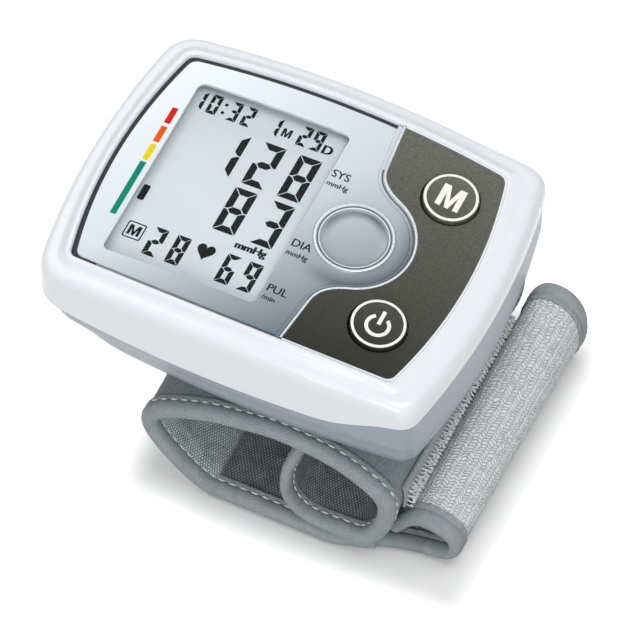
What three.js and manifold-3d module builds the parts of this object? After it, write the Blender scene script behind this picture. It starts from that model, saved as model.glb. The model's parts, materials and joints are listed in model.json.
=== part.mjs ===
// Wrist blood pressure monitor: a case with a display and two buttons, standing on its closed cuff.
// Millimetres, +Z up. The wrist runs along Y, and the origin is on the table under the cuff's loop.
import * as THREE from 'three';
import { mergeVertices } from 'three/addons/utils/BufferGeometryUtils.js';
import Module from 'manifold-3d';

const wasm = await Module();
wasm.setup();

// Cells: a pair of AAA cells lies across the case and sets its depth
const CELL_RADIUS = 5.25;
const CELL_LENGTH = 44.5;
const CELL_NUB = 0.8;
const CELL_NUB_RADIUS = 1.9;
const CELL_MARGIN = 9.35; // end of a cell to the outside of the case
const DOOR_MARGIN = 2.05; // end of a cell to the end of the battery cover

// Case
const UNIT_LENGTH = 80.4;
const UNIT_DEPTH = CELL_LENGTH + 2 * CELL_MARGIN;
const UNIT_HEIGHT = 24.4; // underside to the middle of the face
const UNIT_OFFSET_X = -11; // middle of the case from the middle of the cuff's loop
const PART_HEIGHT = 11; // underside to the parting line at mid length
const PART_RISE = 2; // how much higher the parting line is at the two ends
const PART_CLIMB = 4; // how much further it climbs round the button end
const PART_CLIMB_FROM = 0.53; // where the climb starts and ends, as shares of half the length
const PART_CLIMB_TO = 0.92;
const PART_GAP = 0.3;
const ARCH_RADIUS = 250; // the face is arched along its length
const ARCH_STEPS = 16;
const CASE_WALL = 1.8;
const CASE_BOW_X = 3.6; // how far the ends and the long sides bow outward
const CASE_BOW_Y = 2;
const CASE_CORNER = 5.5;
const SIDE_STEPS = 3;
const CORNER_STEPS = 5;
const ROUND_SIDES = 32; // sides of the larger round shapes
const CUT_OVER = 1; // how far a cutting shape runs past the face it opens

// Face
const RIM_SIDE = 3.9; // case edge to the face panel, at the ends
const RIM_FRONT = 5.2; // the same, at the front and back
const END_REACH = 2; // the rim is that much wider at the button end
const END_FROM = 0.65; // share of the panel where the rim begins to level out towards that end
const RIM_RISE = 1; // the rim stands above the face
const PANEL_BOW_X = 3.8;
const PANEL_BOW_Y = 1.6;
const PANEL_CORNER = 1.6;
const PLATE_THICK = 0.7; // fascia and button panel
const PLATE_GAP = 0.15;
const BUTTON_PANEL_RISE = 0.8; // the button panel stands above the fascia, near the rim
const PLATE_CLEAR = 0.3; // round the edges of the two panels
const DECK_THICK = 1.6; // floor of the recess in the top cover
const DIVIDE_X = 12; // where fascia and button panel meet
const DISH_X = 13.5;
const DISH_RADIUS = 6.6;
const DISH_DEPTH = 0.2;
const DISH_RING = 0.9; // width of the raised ring round the dish
const DISH_RING_RISE = 0.35;
const BULGE_RADIUS = 11.3; // the fascia runs round the dish

// Display
const WINDOW_X = -12.1; // middle of the window
const WINDOW_Y = -0.5;
const WINDOW_LENGTH = 30.9;
const WINDOW_DEPTH = 41.2;
const WINDOW_RADIUS = 1.5;
const DISPLAY_EDGE = 1.1; // the display reaches under the fascia
const DISPLAY_THICK = 1.6;
const LENS_THICK = 0.8;
const HOLDER_WALL = 1;
const SEAT = 0.1; // between flat pieces that lie on each other
const STRIP_WIDTH = 2;

// Buttons
const BUTTON_X = 25.6;
const BUTTON_Y = 15.45;
const BUTTON_RADIUS = 5.3;
const BUTTON_RISE = 0.9; // above the button panel
const BUTTON_DISH = 0.35;
const BUTTON_CLEAR = 0.25;
const BUTTON_TRAVEL = 0.5;
const FLANGE_WIDTH = 1;
const FLANGE_THICK = 0.6;
const FLANGE_GAP = 0.3;
const PLUNGER_RADIUS = 1.5;
const PLUNGER_CLEAR = 0.4;
const SWITCH_SIZE = 6;
const SWITCH_HEIGHT = 0.8;

// Board
const BOARD_LENGTH = 63;
const BOARD_INSET = 12; // long side of the case to the board
const BOARD_DEPTH = UNIT_DEPTH - 2 * BOARD_INSET;
const BOARD_THICK = 1.2;
const BOARD_X = 1.4;
const BOARD_DROP = 5.3; // board's top under the display's window
const POST_RADIUS = 1.8;
const FRONT_POST_INSET = 2.6; // edges of the board to its two posts
const REAR_POST_INSET = 6.4;
const BOARD_POSTS = [[15.6, FRONT_POST_INSET - BOARD_DEPTH / 2], [11, BOARD_DEPTH / 2 - REAR_POST_INSET]];
const BOARD_SCREW_RADIUS = 0.8;
const BOARD_SCREW_HEAD = 1.6;
const BOARD_SCREW_LENGTH = 5;
const CHIP_X = 13;
const CHIP_SIZE = 10;
const CHIP_HEIGHT = 1.4;
const BUZZER_X = 25;
const BUZZER_RADIUS = 4.5;
const BUZZER_HEIGHT = 2.2;

// Battery bay
const CELL_X = -17.4; // middle of the pair
const CELL_PITCH = 10.9;
const CELL_CLEAR = 0.2;
const SPRING_LENGTH = 2;
const SPRING_WIRE = 0.3;
const SPRING_WIDE = 3;
const SPRING_NARROW = 1.8;
const SPRING_TURNS = 2.5;
const CONTACT_THICK = 0.4;
const CONTACT_SIZE = 6;
const TRAY_WALL = 0.8;
const DOOR_EDGE_X = -13;
const DOOR_DEPTH = CELL_LENGTH + 2 * DOOR_MARGIN;
const DOOR_HEIGHT = 9.2;
const DOOR_GAP = 0.3;
const TONGUE_DEPTH = 12;
const TONGUE_REACH = 2.6;
const TONGUE_THICK = 1.2;

// Air parts
const PUMP_X = 6;
const MOTOR_RADIUS = 6;
const PUMP_WIDTH = 12.4;
const PUMP_LENGTH = 13;
const PUMP_CHAMBER_RADIUS = 4.6;
const PUMP_CHAMBER_DEPTH = 8;
const SHAFT_RADIUS = 1;
const SHAFT_CLEAR = 0.08;
const SHAFT_LENGTH = 11;
const ECCENTRIC_RADIUS = 2.6;
const ECCENTRIC_SHIFT = 1;
const ECCENTRIC_LENGTH = 3;
const BARB_RADIUS = 1;
const BARB_LENGTH = 2.2;
const BARB_ROOT = 1; // part of the barb inside its body
const TUBE_BORE_CLEAR = 0.12;
const TUBE_WALL = 0.7;
const TUBE_SIDES = 10;
const BEND_STEPS = 6;
const MANIFOLD_LENGTH = 7;
const MANIFOLD_DEPTH = 11;
const MANIFOLD_HEIGHT = 6.5;
const MANIFOLD_Y = 3;
const MANIFOLD_Z = 5.6;
const NOZZLE_RADIUS = 2;
const NOZZLE_BORE = 1;
const NOZZLE_FLANGE = 3.4;
const NOZZLE_FLANGE_THICK = 1;
const NOZZLE_CLEAR = 0.3;
const SOCKET_DEPTH = 2; // holes in the manifold for the nozzle and the sensor's port
const SENSOR_SIZE = 6;
const SENSOR_HEIGHT = 2.6;
const SENSOR_PORT = 1;
const SEAL_WIDTH = 1.1;
const VALVE_LENGTH = 7.8;
const VALVE_SIZE = 7.6;
const VALVE_BORE = 1.3;
const VALVE_BORE_DEPTH = 5;
const VALVE_CLEAR = 0.1;
const VALVE_TRAVEL = 0.8;
const FIT_GAP = 0.3; // between pieces that are pushed together

// Case screws
const SCREW_INSET = 9.3; // long side of the case to the screws
const SCREW_Y = UNIT_DEPTH / 2 - SCREW_INSET;
const SCREW_PLACES = [[8, -SCREW_Y], [8, SCREW_Y], [19.4, -SCREW_Y], [19.4, SCREW_Y]];
const BOSS_RADIUS = 2.3;
const BOSS_CLEAR = 0.2; // screw bosses to the pump and its tube
const SCREW_RADIUS = 0.9;
const SCREW_HEAD = 1.7;
const SCREW_HEAD_THICK = 1;
const SCREW_CLEAR = 0.2;
const SCREW_LENGTH = 9;
const SCREW_SIDES = 12;
const BOSS_SEAM = 4.5; // height where the two bosses meet

// Cuff: one padded strip wound round the wrist, starting at its inner flap
const CUFF_WIDTH = 59.5;
const STRAP_THICK = 3.2;
const LOOP_LEFT = 27.2; // outer reach of the loop on either side of the origin
const LOOP_RIGHT = 24.5;
const LOOP_HEIGHT = 30.6;
const LOOP_CREST_X = 2.6;
const LOOP_LEFT_Z = 16.7; // height of the widest point on the left
const LOOP_RIGHT_Z = 18;
const FLAT_LEFT = 12.4; // the cuff lies flat from here
const FLAP_END_X = 2;
const FLAP_TURN_X = 16;
const CUFF_END_X = 20;
const LAYER_GAP = 0.3;
const COVER_THICK = 1;
const STIFFENER_THICK = 0.5;
const BLADDER_THICK = 0.5;
const LINER_THICK = 0.6;
const PLY_GAP = 0.2;
const BINDING_WIDTH = 1.2;
const CREST_PLATE = 0.8; // cuff plate, at the top of the loop
const CREST_GAP = 0.2;
const PLATE_DEPTH = 40;
const CURVE_STEPS = 8;
// Lengths of the tangents that shape the loop's curves
const FLAP_TURN_PULL = 5.5;
const SIDE_PULL = 6.5;
const CREST_PULL_RIGHT = 9;
const CREST_PULL_LEFT = 11;
const FOLD_PULL = 5;
const FLAT_PULL = 4;

// Strap tail: a narrower strip of loop pile that turns back over itself
const TAIL_WIDTH = 54;
const TAIL_REAR_Y = 29.5;
const TAIL_THICK = 2.4;
const TAIL_REACH = 34.7;
const TAIL_HEIGHT = 16;
const TAIL_FOLD_Z = 8; // height of the fold line
const TAIL_FLAT_END = 26;
const TAIL_CREST_X = 28.8;
const TAIL_END_X = 25.2;
const TAIL_END_Z = 6.2;
const TAIL_PULL = 4.5; // tangent lengths of the tail's curves
const TAIL_CREST_PULL = 2.6;
const HOOK_THICK = 1.1;
const HOOK_GAP = 0.15;

// Heights and halves that follow from these
const UNIT_Z = LOOP_HEIGHT + CREST_PLATE + 2 * CREST_GAP;
const HALF_X = UNIT_LENGTH / 2;
const HALF_Y = UNIT_DEPTH / 2;
const PANEL_HALF_X = HALF_X - RIM_SIDE;
const PANEL_HALF_Y = HALF_Y - RIM_FRONT;
const DISPLAY_HALF_X = WINDOW_LENGTH / 2 + DISPLAY_EDGE;
const DISPLAY_HALF_Y = WINDOW_DEPTH / 2 + DISPLAY_EDGE;
const DISPLAY_LEFT = WINDOW_X - DISPLAY_HALF_X;
const DISPLAY_RIGHT = WINDOW_X + DISPLAY_HALF_X;
const LENS_TOP = PLATE_THICK + SEAT; // depths under the face
const DISPLAY_TOP = LENS_TOP + LENS_THICK + SEAT;
const DISPLAY_BOTTOM = DISPLAY_TOP + DISPLAY_THICK;
const BOARD_TOP_Z = faceZ(DISPLAY_LEFT) - BOARD_DROP;
const BOARD_BOTTOM_Z = BOARD_TOP_Z - BOARD_THICK;
const TRAY_TOP_Z = BOARD_BOTTOM_Z - FIT_GAP;
const CELL_Z = TRAY_TOP_Z - TRAY_WALL - CELL_CLEAR - CELL_RADIUS;
const CELL_SPAN = CELL_LENGTH / 2 + SPRING_LENGTH / 2 + CONTACT_THICK + CELL_CLEAR;
const AIR_Z = CASE_WALL + FIT_GAP + MOTOR_RADIUS; // pump axis
const MANIFOLD_LEFT = PUMP_X + PUMP_WIDTH / 2 + FIT_GAP;
const NOZZLE_X = MANIFOLD_LEFT + MANIFOLD_LENGTH / 2;
const BEND_RADIUS = (NOZZLE_X - PUMP_X) / 2; // air tube, from the pump back to the manifold
const TUBE_RADIUS = BARB_RADIUS + TUBE_BORE_CLEAR + TUBE_WALL;
const TUBE_REACH = 2 * FIT_GAP + BARB_LENGTH + BEND_RADIUS + TUBE_RADIUS;
const AIR_HALF = SCREW_Y - BOSS_RADIUS - BOSS_CLEAR; // motor, pump and tube fill the room between bosses
const MOTOR_LENGTH = 2 * AIR_HALF - PUMP_LENGTH - TUBE_REACH;
const MOTOR_START_Y = -AIR_HALF;
const BUTTON_TILT = Math.atan(BUTTON_X / ARCH_RADIUS);
const TAIL_FRONT_Y = TAIL_REAR_Y - TAIL_WIDTH;

function faceZ(x) {
  return UNIT_HEIGHT - (x * x) / (2 * ARCH_RADIUS);
}

function partZ(x) {
  const nearEnd = THREE.MathUtils.smoothstep(x, PART_CLIMB_FROM * HALF_X, PART_CLIMB_TO * HALF_X);
  return PART_HEIGHT + PART_RISE * (x / HALF_X) ** 2 + PART_CLIMB * nearEnd;
}

function deckZ(x) {
  return faceZ(x) - PLATE_THICK - PLATE_GAP;
}

// Solids and geometry
function solid(geometry) {
  const bare = geometry.clone();
  bare.deleteAttribute('normal');
  bare.deleteAttribute('uv');
  const merged = mergeVertices(bare, 1e-4);
  const vertProperties = Float32Array.from(merged.attributes.position.array);
  const triVerts = Uint32Array.from(merged.index.array);
  return new wasm.Manifold(new wasm.Mesh({ numProp: 3, vertProperties, triVerts }));
}

function geometryOf(body) {
  const mesh = body.getMesh();
  const geometry = new THREE.BufferGeometry();
  geometry.setAttribute('position', new THREE.BufferAttribute(Float32Array.from(mesh.vertProperties), 3));
  geometry.setIndex(new THREE.BufferAttribute(Uint32Array.from(mesh.triVerts), 1));
  return geometry;
}

function box(x0, x1, y0, y1, z0, z1) {
  const geometry = new THREE.BoxGeometry(x1 - x0, y1 - y0, z1 - z0);
  return geometry.translate((x0 + x1) / 2, (y0 + y1) / 2, (z0 + z1) / 2);
}

function post(x, y, radius, z0, z1, sides = 16) {
  const geometry = new THREE.CylinderGeometry(radius, radius, z1 - z0, sides);
  return geometry.rotateX(Math.PI / 2).translate(x, y, (z0 + z1) / 2);
}

function barAlongY(x, z, radius, y0, y1, sides = 16) {
  const geometry = new THREE.CylinderGeometry(radius, radius, y1 - y0, sides);
  return geometry.translate(x, (y0 + y1) / 2, z);
}

function barAlongX(y, z, radius, x0, x1, sides = 12) {
  const geometry = new THREE.CylinderGeometry(radius, radius, x1 - x0, sides);
  return geometry.rotateZ(Math.PI / 2).translate((x0 + x1) / 2, y, z);
}

function turned(profile, sides) {
  const points = profile.map(([radius, height]) => new THREE.Vector2(radius, height));
  return new THREE.LatheGeometry(points, sides).rotateX(Math.PI / 2);
}

function circlePoints(radius, sides) {
  return new THREE.EllipseCurve(0, 0, radius, radius).getPoints(sides).slice(0, sides);
}

function prism(points, z0, z1) {
  const options = { depth: z1 - z0, bevelEnabled: false };
  const geometry = new THREE.ExtrudeGeometry(new THREE.Shape(points), options);
  return geometry.translate(0, 0, z0);
}

function alongY(points, y0, y1) {
  const options = { depth: y1 - y0, bevelEnabled: false };
  const geometry = new THREE.ExtrudeGeometry(new THREE.Shape(points), options);
  return geometry.rotateX(Math.PI / 2).translate(0, y1, 0);
}

// Four bowed sides with rounded corners, as points in the same order for every size
function outline(halfX, halfY, bowX, bowY, radius) {
  const sideX = (y) => halfX - bowX * (y / halfY) ** 2;
  const sideY = (x) => halfY - bowY * (x / halfX) ** 2;
  const cornerX = sideX(halfY - bowY);
  const cornerY = sideY(cornerX);
  const corner = new THREE.Vector2(cornerX, cornerY);
  const quarter = [];
  for (let i = 0; i < SIDE_STEPS; i += 1) {
    const y = ((cornerY - radius) * i) / SIDE_STEPS;
    quarter.push(new THREE.Vector2(sideX(y), y));
  }
  const start = new THREE.Vector2(sideX(cornerY - radius), cornerY - radius);
  const end = new THREE.Vector2(cornerX - radius, sideY(cornerX - radius));
  const bend = new THREE.QuadraticBezierCurve(start, corner, end).getPoints(CORNER_STEPS);
  quarter.push(...bend.slice(0, -1));
  for (let i = SIDE_STEPS; i > 0; i -= 1) {
    const x = ((cornerX - radius) * i) / SIDE_STEPS;
    quarter.push(new THREE.Vector2(x, sideY(x)));
  }
  const top = new THREE.Vector2(0, halfY);
  const mirrored = quarter.slice(1).reverse().map((p) => new THREE.Vector2(-p.x, p.y));
  const half = [...quarter, top, ...mirrored];
  return [...half, ...half.map((p) => new THREE.Vector2(-p.x, -p.y))];
}

function lifted(points, heightAt) {
  return points.map((p) => new THREE.Vector3(p.x, p.y, heightAt(p.x)));
}

function middle(ring) {
  const sum = ring.reduce((total, p) => total.add(p), new THREE.Vector3());
  return sum.divideScalar(ring.length);
}

// A closed body through rings of equal count, from the bottom up
function loft(rings) {
  const count = rings[0].length;
  const points = [...rings.flat(), middle(rings[0]), middle(rings.at(-1))];
  const last = (rings.length - 1) * count;
  const low = rings.length * count;
  const faces = [];
  for (let i = 0; i < count; i += 1) {
    const next = (i + 1) % count;
    for (let start = 0; start < last; start += count) {
      faces.push(start + i, start + next, start + count + next);
      faces.push(start + i, start + count + next, start + count + i);
    }
    faces.push(low, next, i);
    faces.push(low + 1, last + i, last + next);
  }
  const geometry = new THREE.BufferGeometry().setFromPoints(points);
  return geometry.setIndex(faces);
}

// Case shells
const CAVITY_DROP = 0.4; // the hollow runs on below the parting line, as a share of the height
const CAP_SHARES = [0.7, 0.4, 0.15]; // rings that carry the arch across the face

function reached(points, reach) {
  const far = Math.max(...points.map((p) => p.x));
  return points.map((p) => new THREE.Vector2(p.x > 0 ? p.x * (1 + reach / far) : p.x, p.y));
}

function caseRing([share, up, rise, endRise], wall) {
  const points = outline(
    HALF_X - share * RIM_SIDE - wall,
    HALF_Y - share * RIM_FRONT - wall,
    THREE.MathUtils.lerp(CASE_BOW_X, PANEL_BOW_X, share),
    THREE.MathUtils.lerp(CASE_BOW_Y, PANEL_BOW_Y, share),
    THREE.MathUtils.lerp(CASE_CORNER, PANEL_CORNER, share),
  );
  return lifted(reached(points, END_REACH * (1 - share)), (x) => {
    const nearEnd = THREE.MathUtils.smoothstep(x, END_FROM * PANEL_HALF_X, PANEL_HALF_X);
    const base = THREE.MathUtils.lerp(partZ(x) + PART_GAP / 2, faceZ(x), up);
    return base + RIM_RISE * THREE.MathUtils.lerp(rise, endRise, nearEnd);
  });
}

function panelRing(share, heightAt) {
  const halfX = PANEL_HALF_X * share;
  const halfY = PANEL_HALF_Y * share;
  const points = outline(halfX, halfY, PANEL_BOW_X * share, PANEL_BOW_Y * share, PANEL_CORNER * share);
  return lifted(points, heightAt);
}

function coverOuter() {
  // share of the rim crossed, share of the height, share of the rim's rise, the same at the button end
  const profile = [
    [0, 0, 0, 0],
    [0.005, 0.6, 0, 0],
    [0.025, 0.78, 0, 0.1],
    [0.07, 0.88, 0, 0.35],
    [0.15, 0.94, 0, 0.65],
    [0.28, 0.965, 0, 0.85],
    [0.42, 0.967, 0, 0.9],
    [0.55, 0.97, 0, 0.9],
    [0.66, 0.985, 0.15, 0.88],
    [0.75, 1, 0.6, 0.85],
    [0.83, 1, 0.95, 0.85],
    [0.9, 1, 1, 0.85],
    [0.96, 1, 0.92, 0.8],
    [1, 1, 0.6, 0.6],
  ];
  const side = profile.map((row) => caseRing(row, 0));
  const floor = [1, ...CAP_SHARES].map((share) => panelRing(share, deckZ));
  return solid(loft([...side, ...floor]));
}

function coverCavity() {
  const side = [
    caseRing([0, -CAVITY_DROP, 0, 0], CASE_WALL),
    caseRing([0, 0.55, 0, 0], CASE_WALL),
    caseRing([0.1, 0.8, 0, 0], CASE_WALL),
  ];
  const under = (x) => deckZ(x) - DECK_THICK;
  const top = [1, ...CAP_SHARES].map((share) => panelRing(share, under));
  return solid(loft([...side, ...top]));
}

function buttonFrame(sideY) {
  const place = new THREE.Matrix4().makeRotationY(BUTTON_TILT);
  return place.setPosition(BUTTON_X, sideY, faceZ(BUTTON_X));
}

function buttonHole(sideY) {
  const reach = 4 * DECK_THICK;
  const hole = post(0, 0, BUTTON_RADIUS + BUTTON_CLEAR, -reach, reach, ROUND_SIDES);
  return solid(hole.applyMatrix4(buttonFrame(sideY)));
}

function displayBlock(grow) {
  const x0 = DISPLAY_LEFT - grow;
  const x1 = DISPLAY_RIGHT + grow;
  const y0 = WINDOW_Y - DISPLAY_HALF_Y - grow;
  const y1 = WINDOW_Y + DISPLAY_HALF_Y + grow;
  return solid(box(x0, x1, y0, y1, 0, 2 * UNIT_HEIGHT));
}

function topCover() {
  let body = coverOuter().subtract(coverCavity()).subtract(displayBlock(FIT_GAP));
  for (const sideY of [-BUTTON_Y, BUTTON_Y]) {
    body = body.subtract(buttonHole(sideY));
  }
  for (const [x, y] of SCREW_PLACES) {
    const top = deckZ(x) - DECK_THICK / 2;
    const boss = solid(post(x, y, BOSS_RADIUS, BOSS_SEAM + PART_GAP, top));
    const pilot = solid(post(x, y, SCREW_RADIUS + SCREW_CLEAR, 0, top - DECK_THICK));
    body = body.add(boss).subtract(pilot);
  }
  return geometryOf(body);
}

// inset from the case edge at the display end, the button end and the sides, height above the underside
const BELLY = [
  [16.2, 7, 6.1, 0],
  [14.9, 4.2, 4.5, 0.2],
  [12.7, 2.3, 3.3, 1],
  [9.6, 1, 2.3, 3.4],
  [6.7, 0.6, 1.6, 6.2],
  [4.4, 0.45, 1.1, 7.9],
  [2.6, 0.4, 0.8, 9],
];
const BELLY_EDGE = 0.35; // the bottom case stands back from the cover's edge

function bellyRing([left, right, side, height], wall) {
  const halfX = HALF_X + (END_REACH - left - right) / 2 - wall;
  const shift = (END_REACH + left - right) / 2;
  const points = outline(halfX, HALF_Y - side - wall, CASE_BOW_X, CASE_BOW_Y, CASE_CORNER);
  return lifted(points, () => height).map((p) => p.setX(p.x + shift));
}

function bellyEdge(wall, drop) {
  const inset = BELLY_EDGE + wall;
  const points = outline(HALF_X - inset, HALF_Y - inset, CASE_BOW_X, CASE_BOW_Y, CASE_CORNER);
  return lifted(reached(points, END_REACH), (x) => partZ(x) - drop);
}

function caseShell() {
  const outer = solid(loft([...BELLY.map((row) => bellyRing(row, 0)), bellyEdge(0, PART_GAP / 2)]));
  const floorRise = (i) => CASE_WALL * (1 - i / BELLY.length);
  const inside = BELLY.map(([left, right, side, height], i) => (
    bellyRing([left, right, side, height + floorRise(i)], CASE_WALL)
  ));
  const cavity = solid(loft([...inside, bellyEdge(CASE_WALL, -PART_HEIGHT)]));
  return outer.subtract(cavity);
}

function doorBlock(grow) {
  const half = DOOR_DEPTH / 2 + grow;
  return solid(box(-UNIT_LENGTH, DOOR_EDGE_X + grow, -half, half, -PART_HEIGHT, DOOR_HEIGHT + grow));
}

function bottomCase() {
  let body = caseShell().subtract(doorBlock(DOOR_GAP));
  for (const [x, y] of SCREW_PLACES) {
    const top = BOSS_SEAM;
    const seat = SCREW_HEAD_THICK + SCREW_CLEAR;
    body = body.add(solid(post(x, y, BOSS_RADIUS, seat / 2, top)));
    body = body.subtract(solid(post(x, y, SCREW_RADIUS + SCREW_CLEAR, -CUT_OVER, top + CUT_OVER)));
    body = body.subtract(solid(post(x, y, SCREW_HEAD + SCREW_CLEAR, -CUT_OVER, seat)));
  }
  for (const [x, y] of BOARD_POSTS) {
    const top = BOARD_BOTTOM_Z - SEAT;
    body = body.add(solid(post(x, y, POST_RADIUS, CASE_WALL / 2, top)));
    const pilot = post(x, y, BOARD_SCREW_RADIUS + SCREW_CLEAR, top - BOARD_SCREW_LENGTH, top + CUT_OVER);
    body = body.subtract(solid(pilot));
  }
  const hole = post(NOZZLE_X, MANIFOLD_Y, NOZZLE_RADIUS + NOZZLE_CLEAR, -CUT_OVER, 2 * CASE_WALL);
  return geometryOf(body.subtract(solid(hole)));
}

function batteryCover() {
  const plate = caseShell().intersect(doorBlock(0));
  const half = TONGUE_DEPTH / 2;
  const base = CASE_WALL + DOOR_GAP;
  const tip = DOOR_EDGE_X + DOOR_GAP + TONGUE_REACH;
  const start = DOOR_EDGE_X - 2 * TONGUE_REACH;
  const top = base + TONGUE_THICK;
  const tongue = solid(box(start, tip, -half, half, base, top));
  const root = solid(box(start, DOOR_EDGE_X - TONGUE_REACH, -half, half, CASE_WALL / 2, top));
  return geometryOf(plate.add(tongue).add(root));
}

// Face panels
function archSlab(top, thickness) {
  const line = (drop) => Array.from({ length: ARCH_STEPS + 1 }, (_, i) => {
    const x = -HALF_X + (UNIT_LENGTH * i) / ARCH_STEPS;
    return new THREE.Vector2(x, faceZ(x) - drop);
  });
  const points = [...line(top), ...line(top + thickness).reverse()];
  return solid(alongY(points, -HALF_Y, HALF_Y));
}

function panelPrism() {
  const halfX = PANEL_HALF_X - PLATE_CLEAR;
  const halfY = PANEL_HALF_Y - PLATE_CLEAR;
  const points = outline(halfX, halfY, PANEL_BOW_X, PANEL_BOW_Y, PANEL_CORNER);
  return solid(prism(points, 0, 2 * UNIT_HEIGHT));
}

function fasciaBlock(grow) {
  const side = solid(box(-UNIT_LENGTH, DIVIDE_X + grow, -UNIT_DEPTH, UNIT_DEPTH, 0, 2 * UNIT_HEIGHT));
  return side.add(solid(post(DISH_X, 0, BULGE_RADIUS + grow, 0, 2 * UNIT_HEIGHT, ROUND_SIDES)));
}

function roundedRectangle(halfX, halfY, radius) {
  const shape = new THREE.Shape();
  shape.moveTo(-halfX + radius, -halfY);
  shape.lineTo(halfX - radius, -halfY);
  shape.quadraticCurveTo(halfX, -halfY, halfX, -halfY + radius);
  shape.lineTo(halfX, halfY - radius);
  shape.quadraticCurveTo(halfX, halfY, halfX - radius, halfY);
  shape.lineTo(-halfX + radius, halfY);
  shape.quadraticCurveTo(-halfX, halfY, -halfX, halfY - radius);
  shape.lineTo(-halfX, -halfY + radius);
  shape.quadraticCurveTo(-halfX, -halfY, -halfX + radius, -halfY);
  return shape.getPoints(3);
}

function fasciaPanel() {
  const opening = roundedRectangle(WINDOW_LENGTH / 2, WINDOW_DEPTH / 2, WINDOW_RADIUS);
  const window = solid(prism(opening, 0, 2 * UNIT_HEIGHT).translate(WINDOW_X, WINDOW_Y, 0));
  const plate = panelPrism().intersect(fasciaBlock(0)).intersect(archSlab(0, PLATE_THICK));
  const level = faceZ(DISH_X);
  const slope = Math.atan(DISH_X / ARCH_RADIUS);
  const rim = DISH_RADIUS + DISH_RING;
  const ridge = rim - DISH_RING / 2;
  const under = -PLATE_THICK / 2;
  const profile = [
    [0, under],
    [rim, under],
    [rim, 0],
    [ridge, DISH_RING_RISE],
    [DISH_RADIUS, 0],
    [DISH_RADIUS / 2, -DISH_DEPTH],
    [0, -DISH_DEPTH],
  ];
  const ring = turned(profile, ROUND_SIDES);
  const hole = post(0, 0, ridge, under, PLATE_THICK, ROUND_SIDES);
  const place = new THREE.Matrix4().makeRotationY(slope).setPosition(DISH_X, 0, level);
  const cut = solid(hole.applyMatrix4(place));
  const dish = solid(ring.applyMatrix4(place));
  return geometryOf(plate.subtract(window).subtract(cut).add(dish));
}

function buttonPanel() {
  const slab = archSlab(-BUTTON_PANEL_RISE, BUTTON_PANEL_RISE + PLATE_THICK);
  let body = panelPrism().subtract(fasciaBlock(PLATE_CLEAR)).intersect(slab);
  for (const sideY of [-BUTTON_Y, BUTTON_Y]) {
    body = body.subtract(buttonHole(sideY));
  }
  return geometryOf(body);
}

// Display, set along the chord of the arch
function displayChord(x) {
  const share = (x - DISPLAY_LEFT) / (DISPLAY_RIGHT - DISPLAY_LEFT);
  return THREE.MathUtils.lerp(faceZ(DISPLAY_LEFT), faceZ(DISPLAY_RIGHT), share);
}

function displaySlab(x0, x1, y0, y1, top, bottomAt) {
  const points = [
    new THREE.Vector2(x0, bottomAt(x0)),
    new THREE.Vector2(x1, bottomAt(x1)),
    new THREE.Vector2(x1, displayChord(x1) - top),
    new THREE.Vector2(x0, displayChord(x0) - top),
  ];
  return alongY(points, y0, y1);
}

function displayLens() {
  const y0 = WINDOW_Y - DISPLAY_HALF_Y;
  const y1 = WINDOW_Y + DISPLAY_HALF_Y;
  const bottomAt = (x) => displayChord(x) - LENS_TOP - LENS_THICK;
  return displaySlab(DISPLAY_LEFT, DISPLAY_RIGHT, y0, y1, LENS_TOP, bottomAt);
}

function displayModule() {
  const y0 = WINDOW_Y - DISPLAY_HALF_Y;
  const y1 = WINDOW_Y + DISPLAY_HALF_Y;
  const bottomAt = (x) => displayChord(x) - DISPLAY_BOTTOM;
  return displaySlab(DISPLAY_LEFT, DISPLAY_RIGHT, y0, y1, DISPLAY_TOP, bottomAt);
}

function displayHolder() {
  const y0 = WINDOW_Y - DISPLAY_HALF_Y;
  const y1 = WINDOW_Y + DISPLAY_HALF_Y;
  const floor = () => BOARD_TOP_Z + SEAT;
  const frame = displaySlab(DISPLAY_LEFT, DISPLAY_RIGHT, y0, y1, DISPLAY_BOTTOM + SEAT, floor);
  const x0 = DISPLAY_LEFT + HOLDER_WALL;
  const x1 = DISPLAY_RIGHT - HOLDER_WALL;
  const opening = box(x0, x1, y0 + HOLDER_WALL, y1 - HOLDER_WALL, 0, UNIT_HEIGHT);
  return geometryOf(solid(frame).subtract(solid(opening)));
}

function contactStrip() {
  const y1 = WINDOW_Y + BOARD_DEPTH / 2 - STRIP_WIDTH;
  const inset = HOLDER_WALL + FIT_GAP;
  const floor = () => BOARD_TOP_Z + SEAT;
  const top = DISPLAY_BOTTOM + SEAT;
  return displaySlab(DISPLAY_LEFT + inset, DISPLAY_RIGHT - inset, y1 - STRIP_WIDTH, y1, top, floor);
}

// Buttons, in the tilted frame of the face at each button
const FLANGE_TOP = -(PLATE_THICK + PLATE_GAP + DECK_THICK + FLANGE_GAP);
const FLANGE_BOTTOM = FLANGE_TOP - FLANGE_THICK;
const PLUNGER_BOTTOM = BOARD_TOP_Z + BUTTON_TRAVEL + PLUNGER_CLEAR - faceZ(BUTTON_X);

function buttonCap() {
  const flange = BUTTON_RADIUS + FLANGE_WIDTH;
  const soft = BUTTON_RISE / 2;
  const top = BUTTON_PANEL_RISE + BUTTON_RISE;
  const hollow = top - BUTTON_DISH;
  const profile = [
    [0, FLANGE_BOTTOM],
    [flange, FLANGE_BOTTOM],
    [flange, FLANGE_TOP],
    [BUTTON_RADIUS, FLANGE_TOP],
    [BUTTON_RADIUS, top - soft],
    [BUTTON_RADIUS - soft, top],
    [BUTTON_RADIUS / 2, hollow],
    [0, hollow],
  ];
  return turned(profile, ROUND_SIDES);
}

function switchPlunger() {
  return post(0, 0, PLUNGER_RADIUS, PLUNGER_BOTTOM, FLANGE_BOTTOM - SEAT / 2);
}

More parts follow.
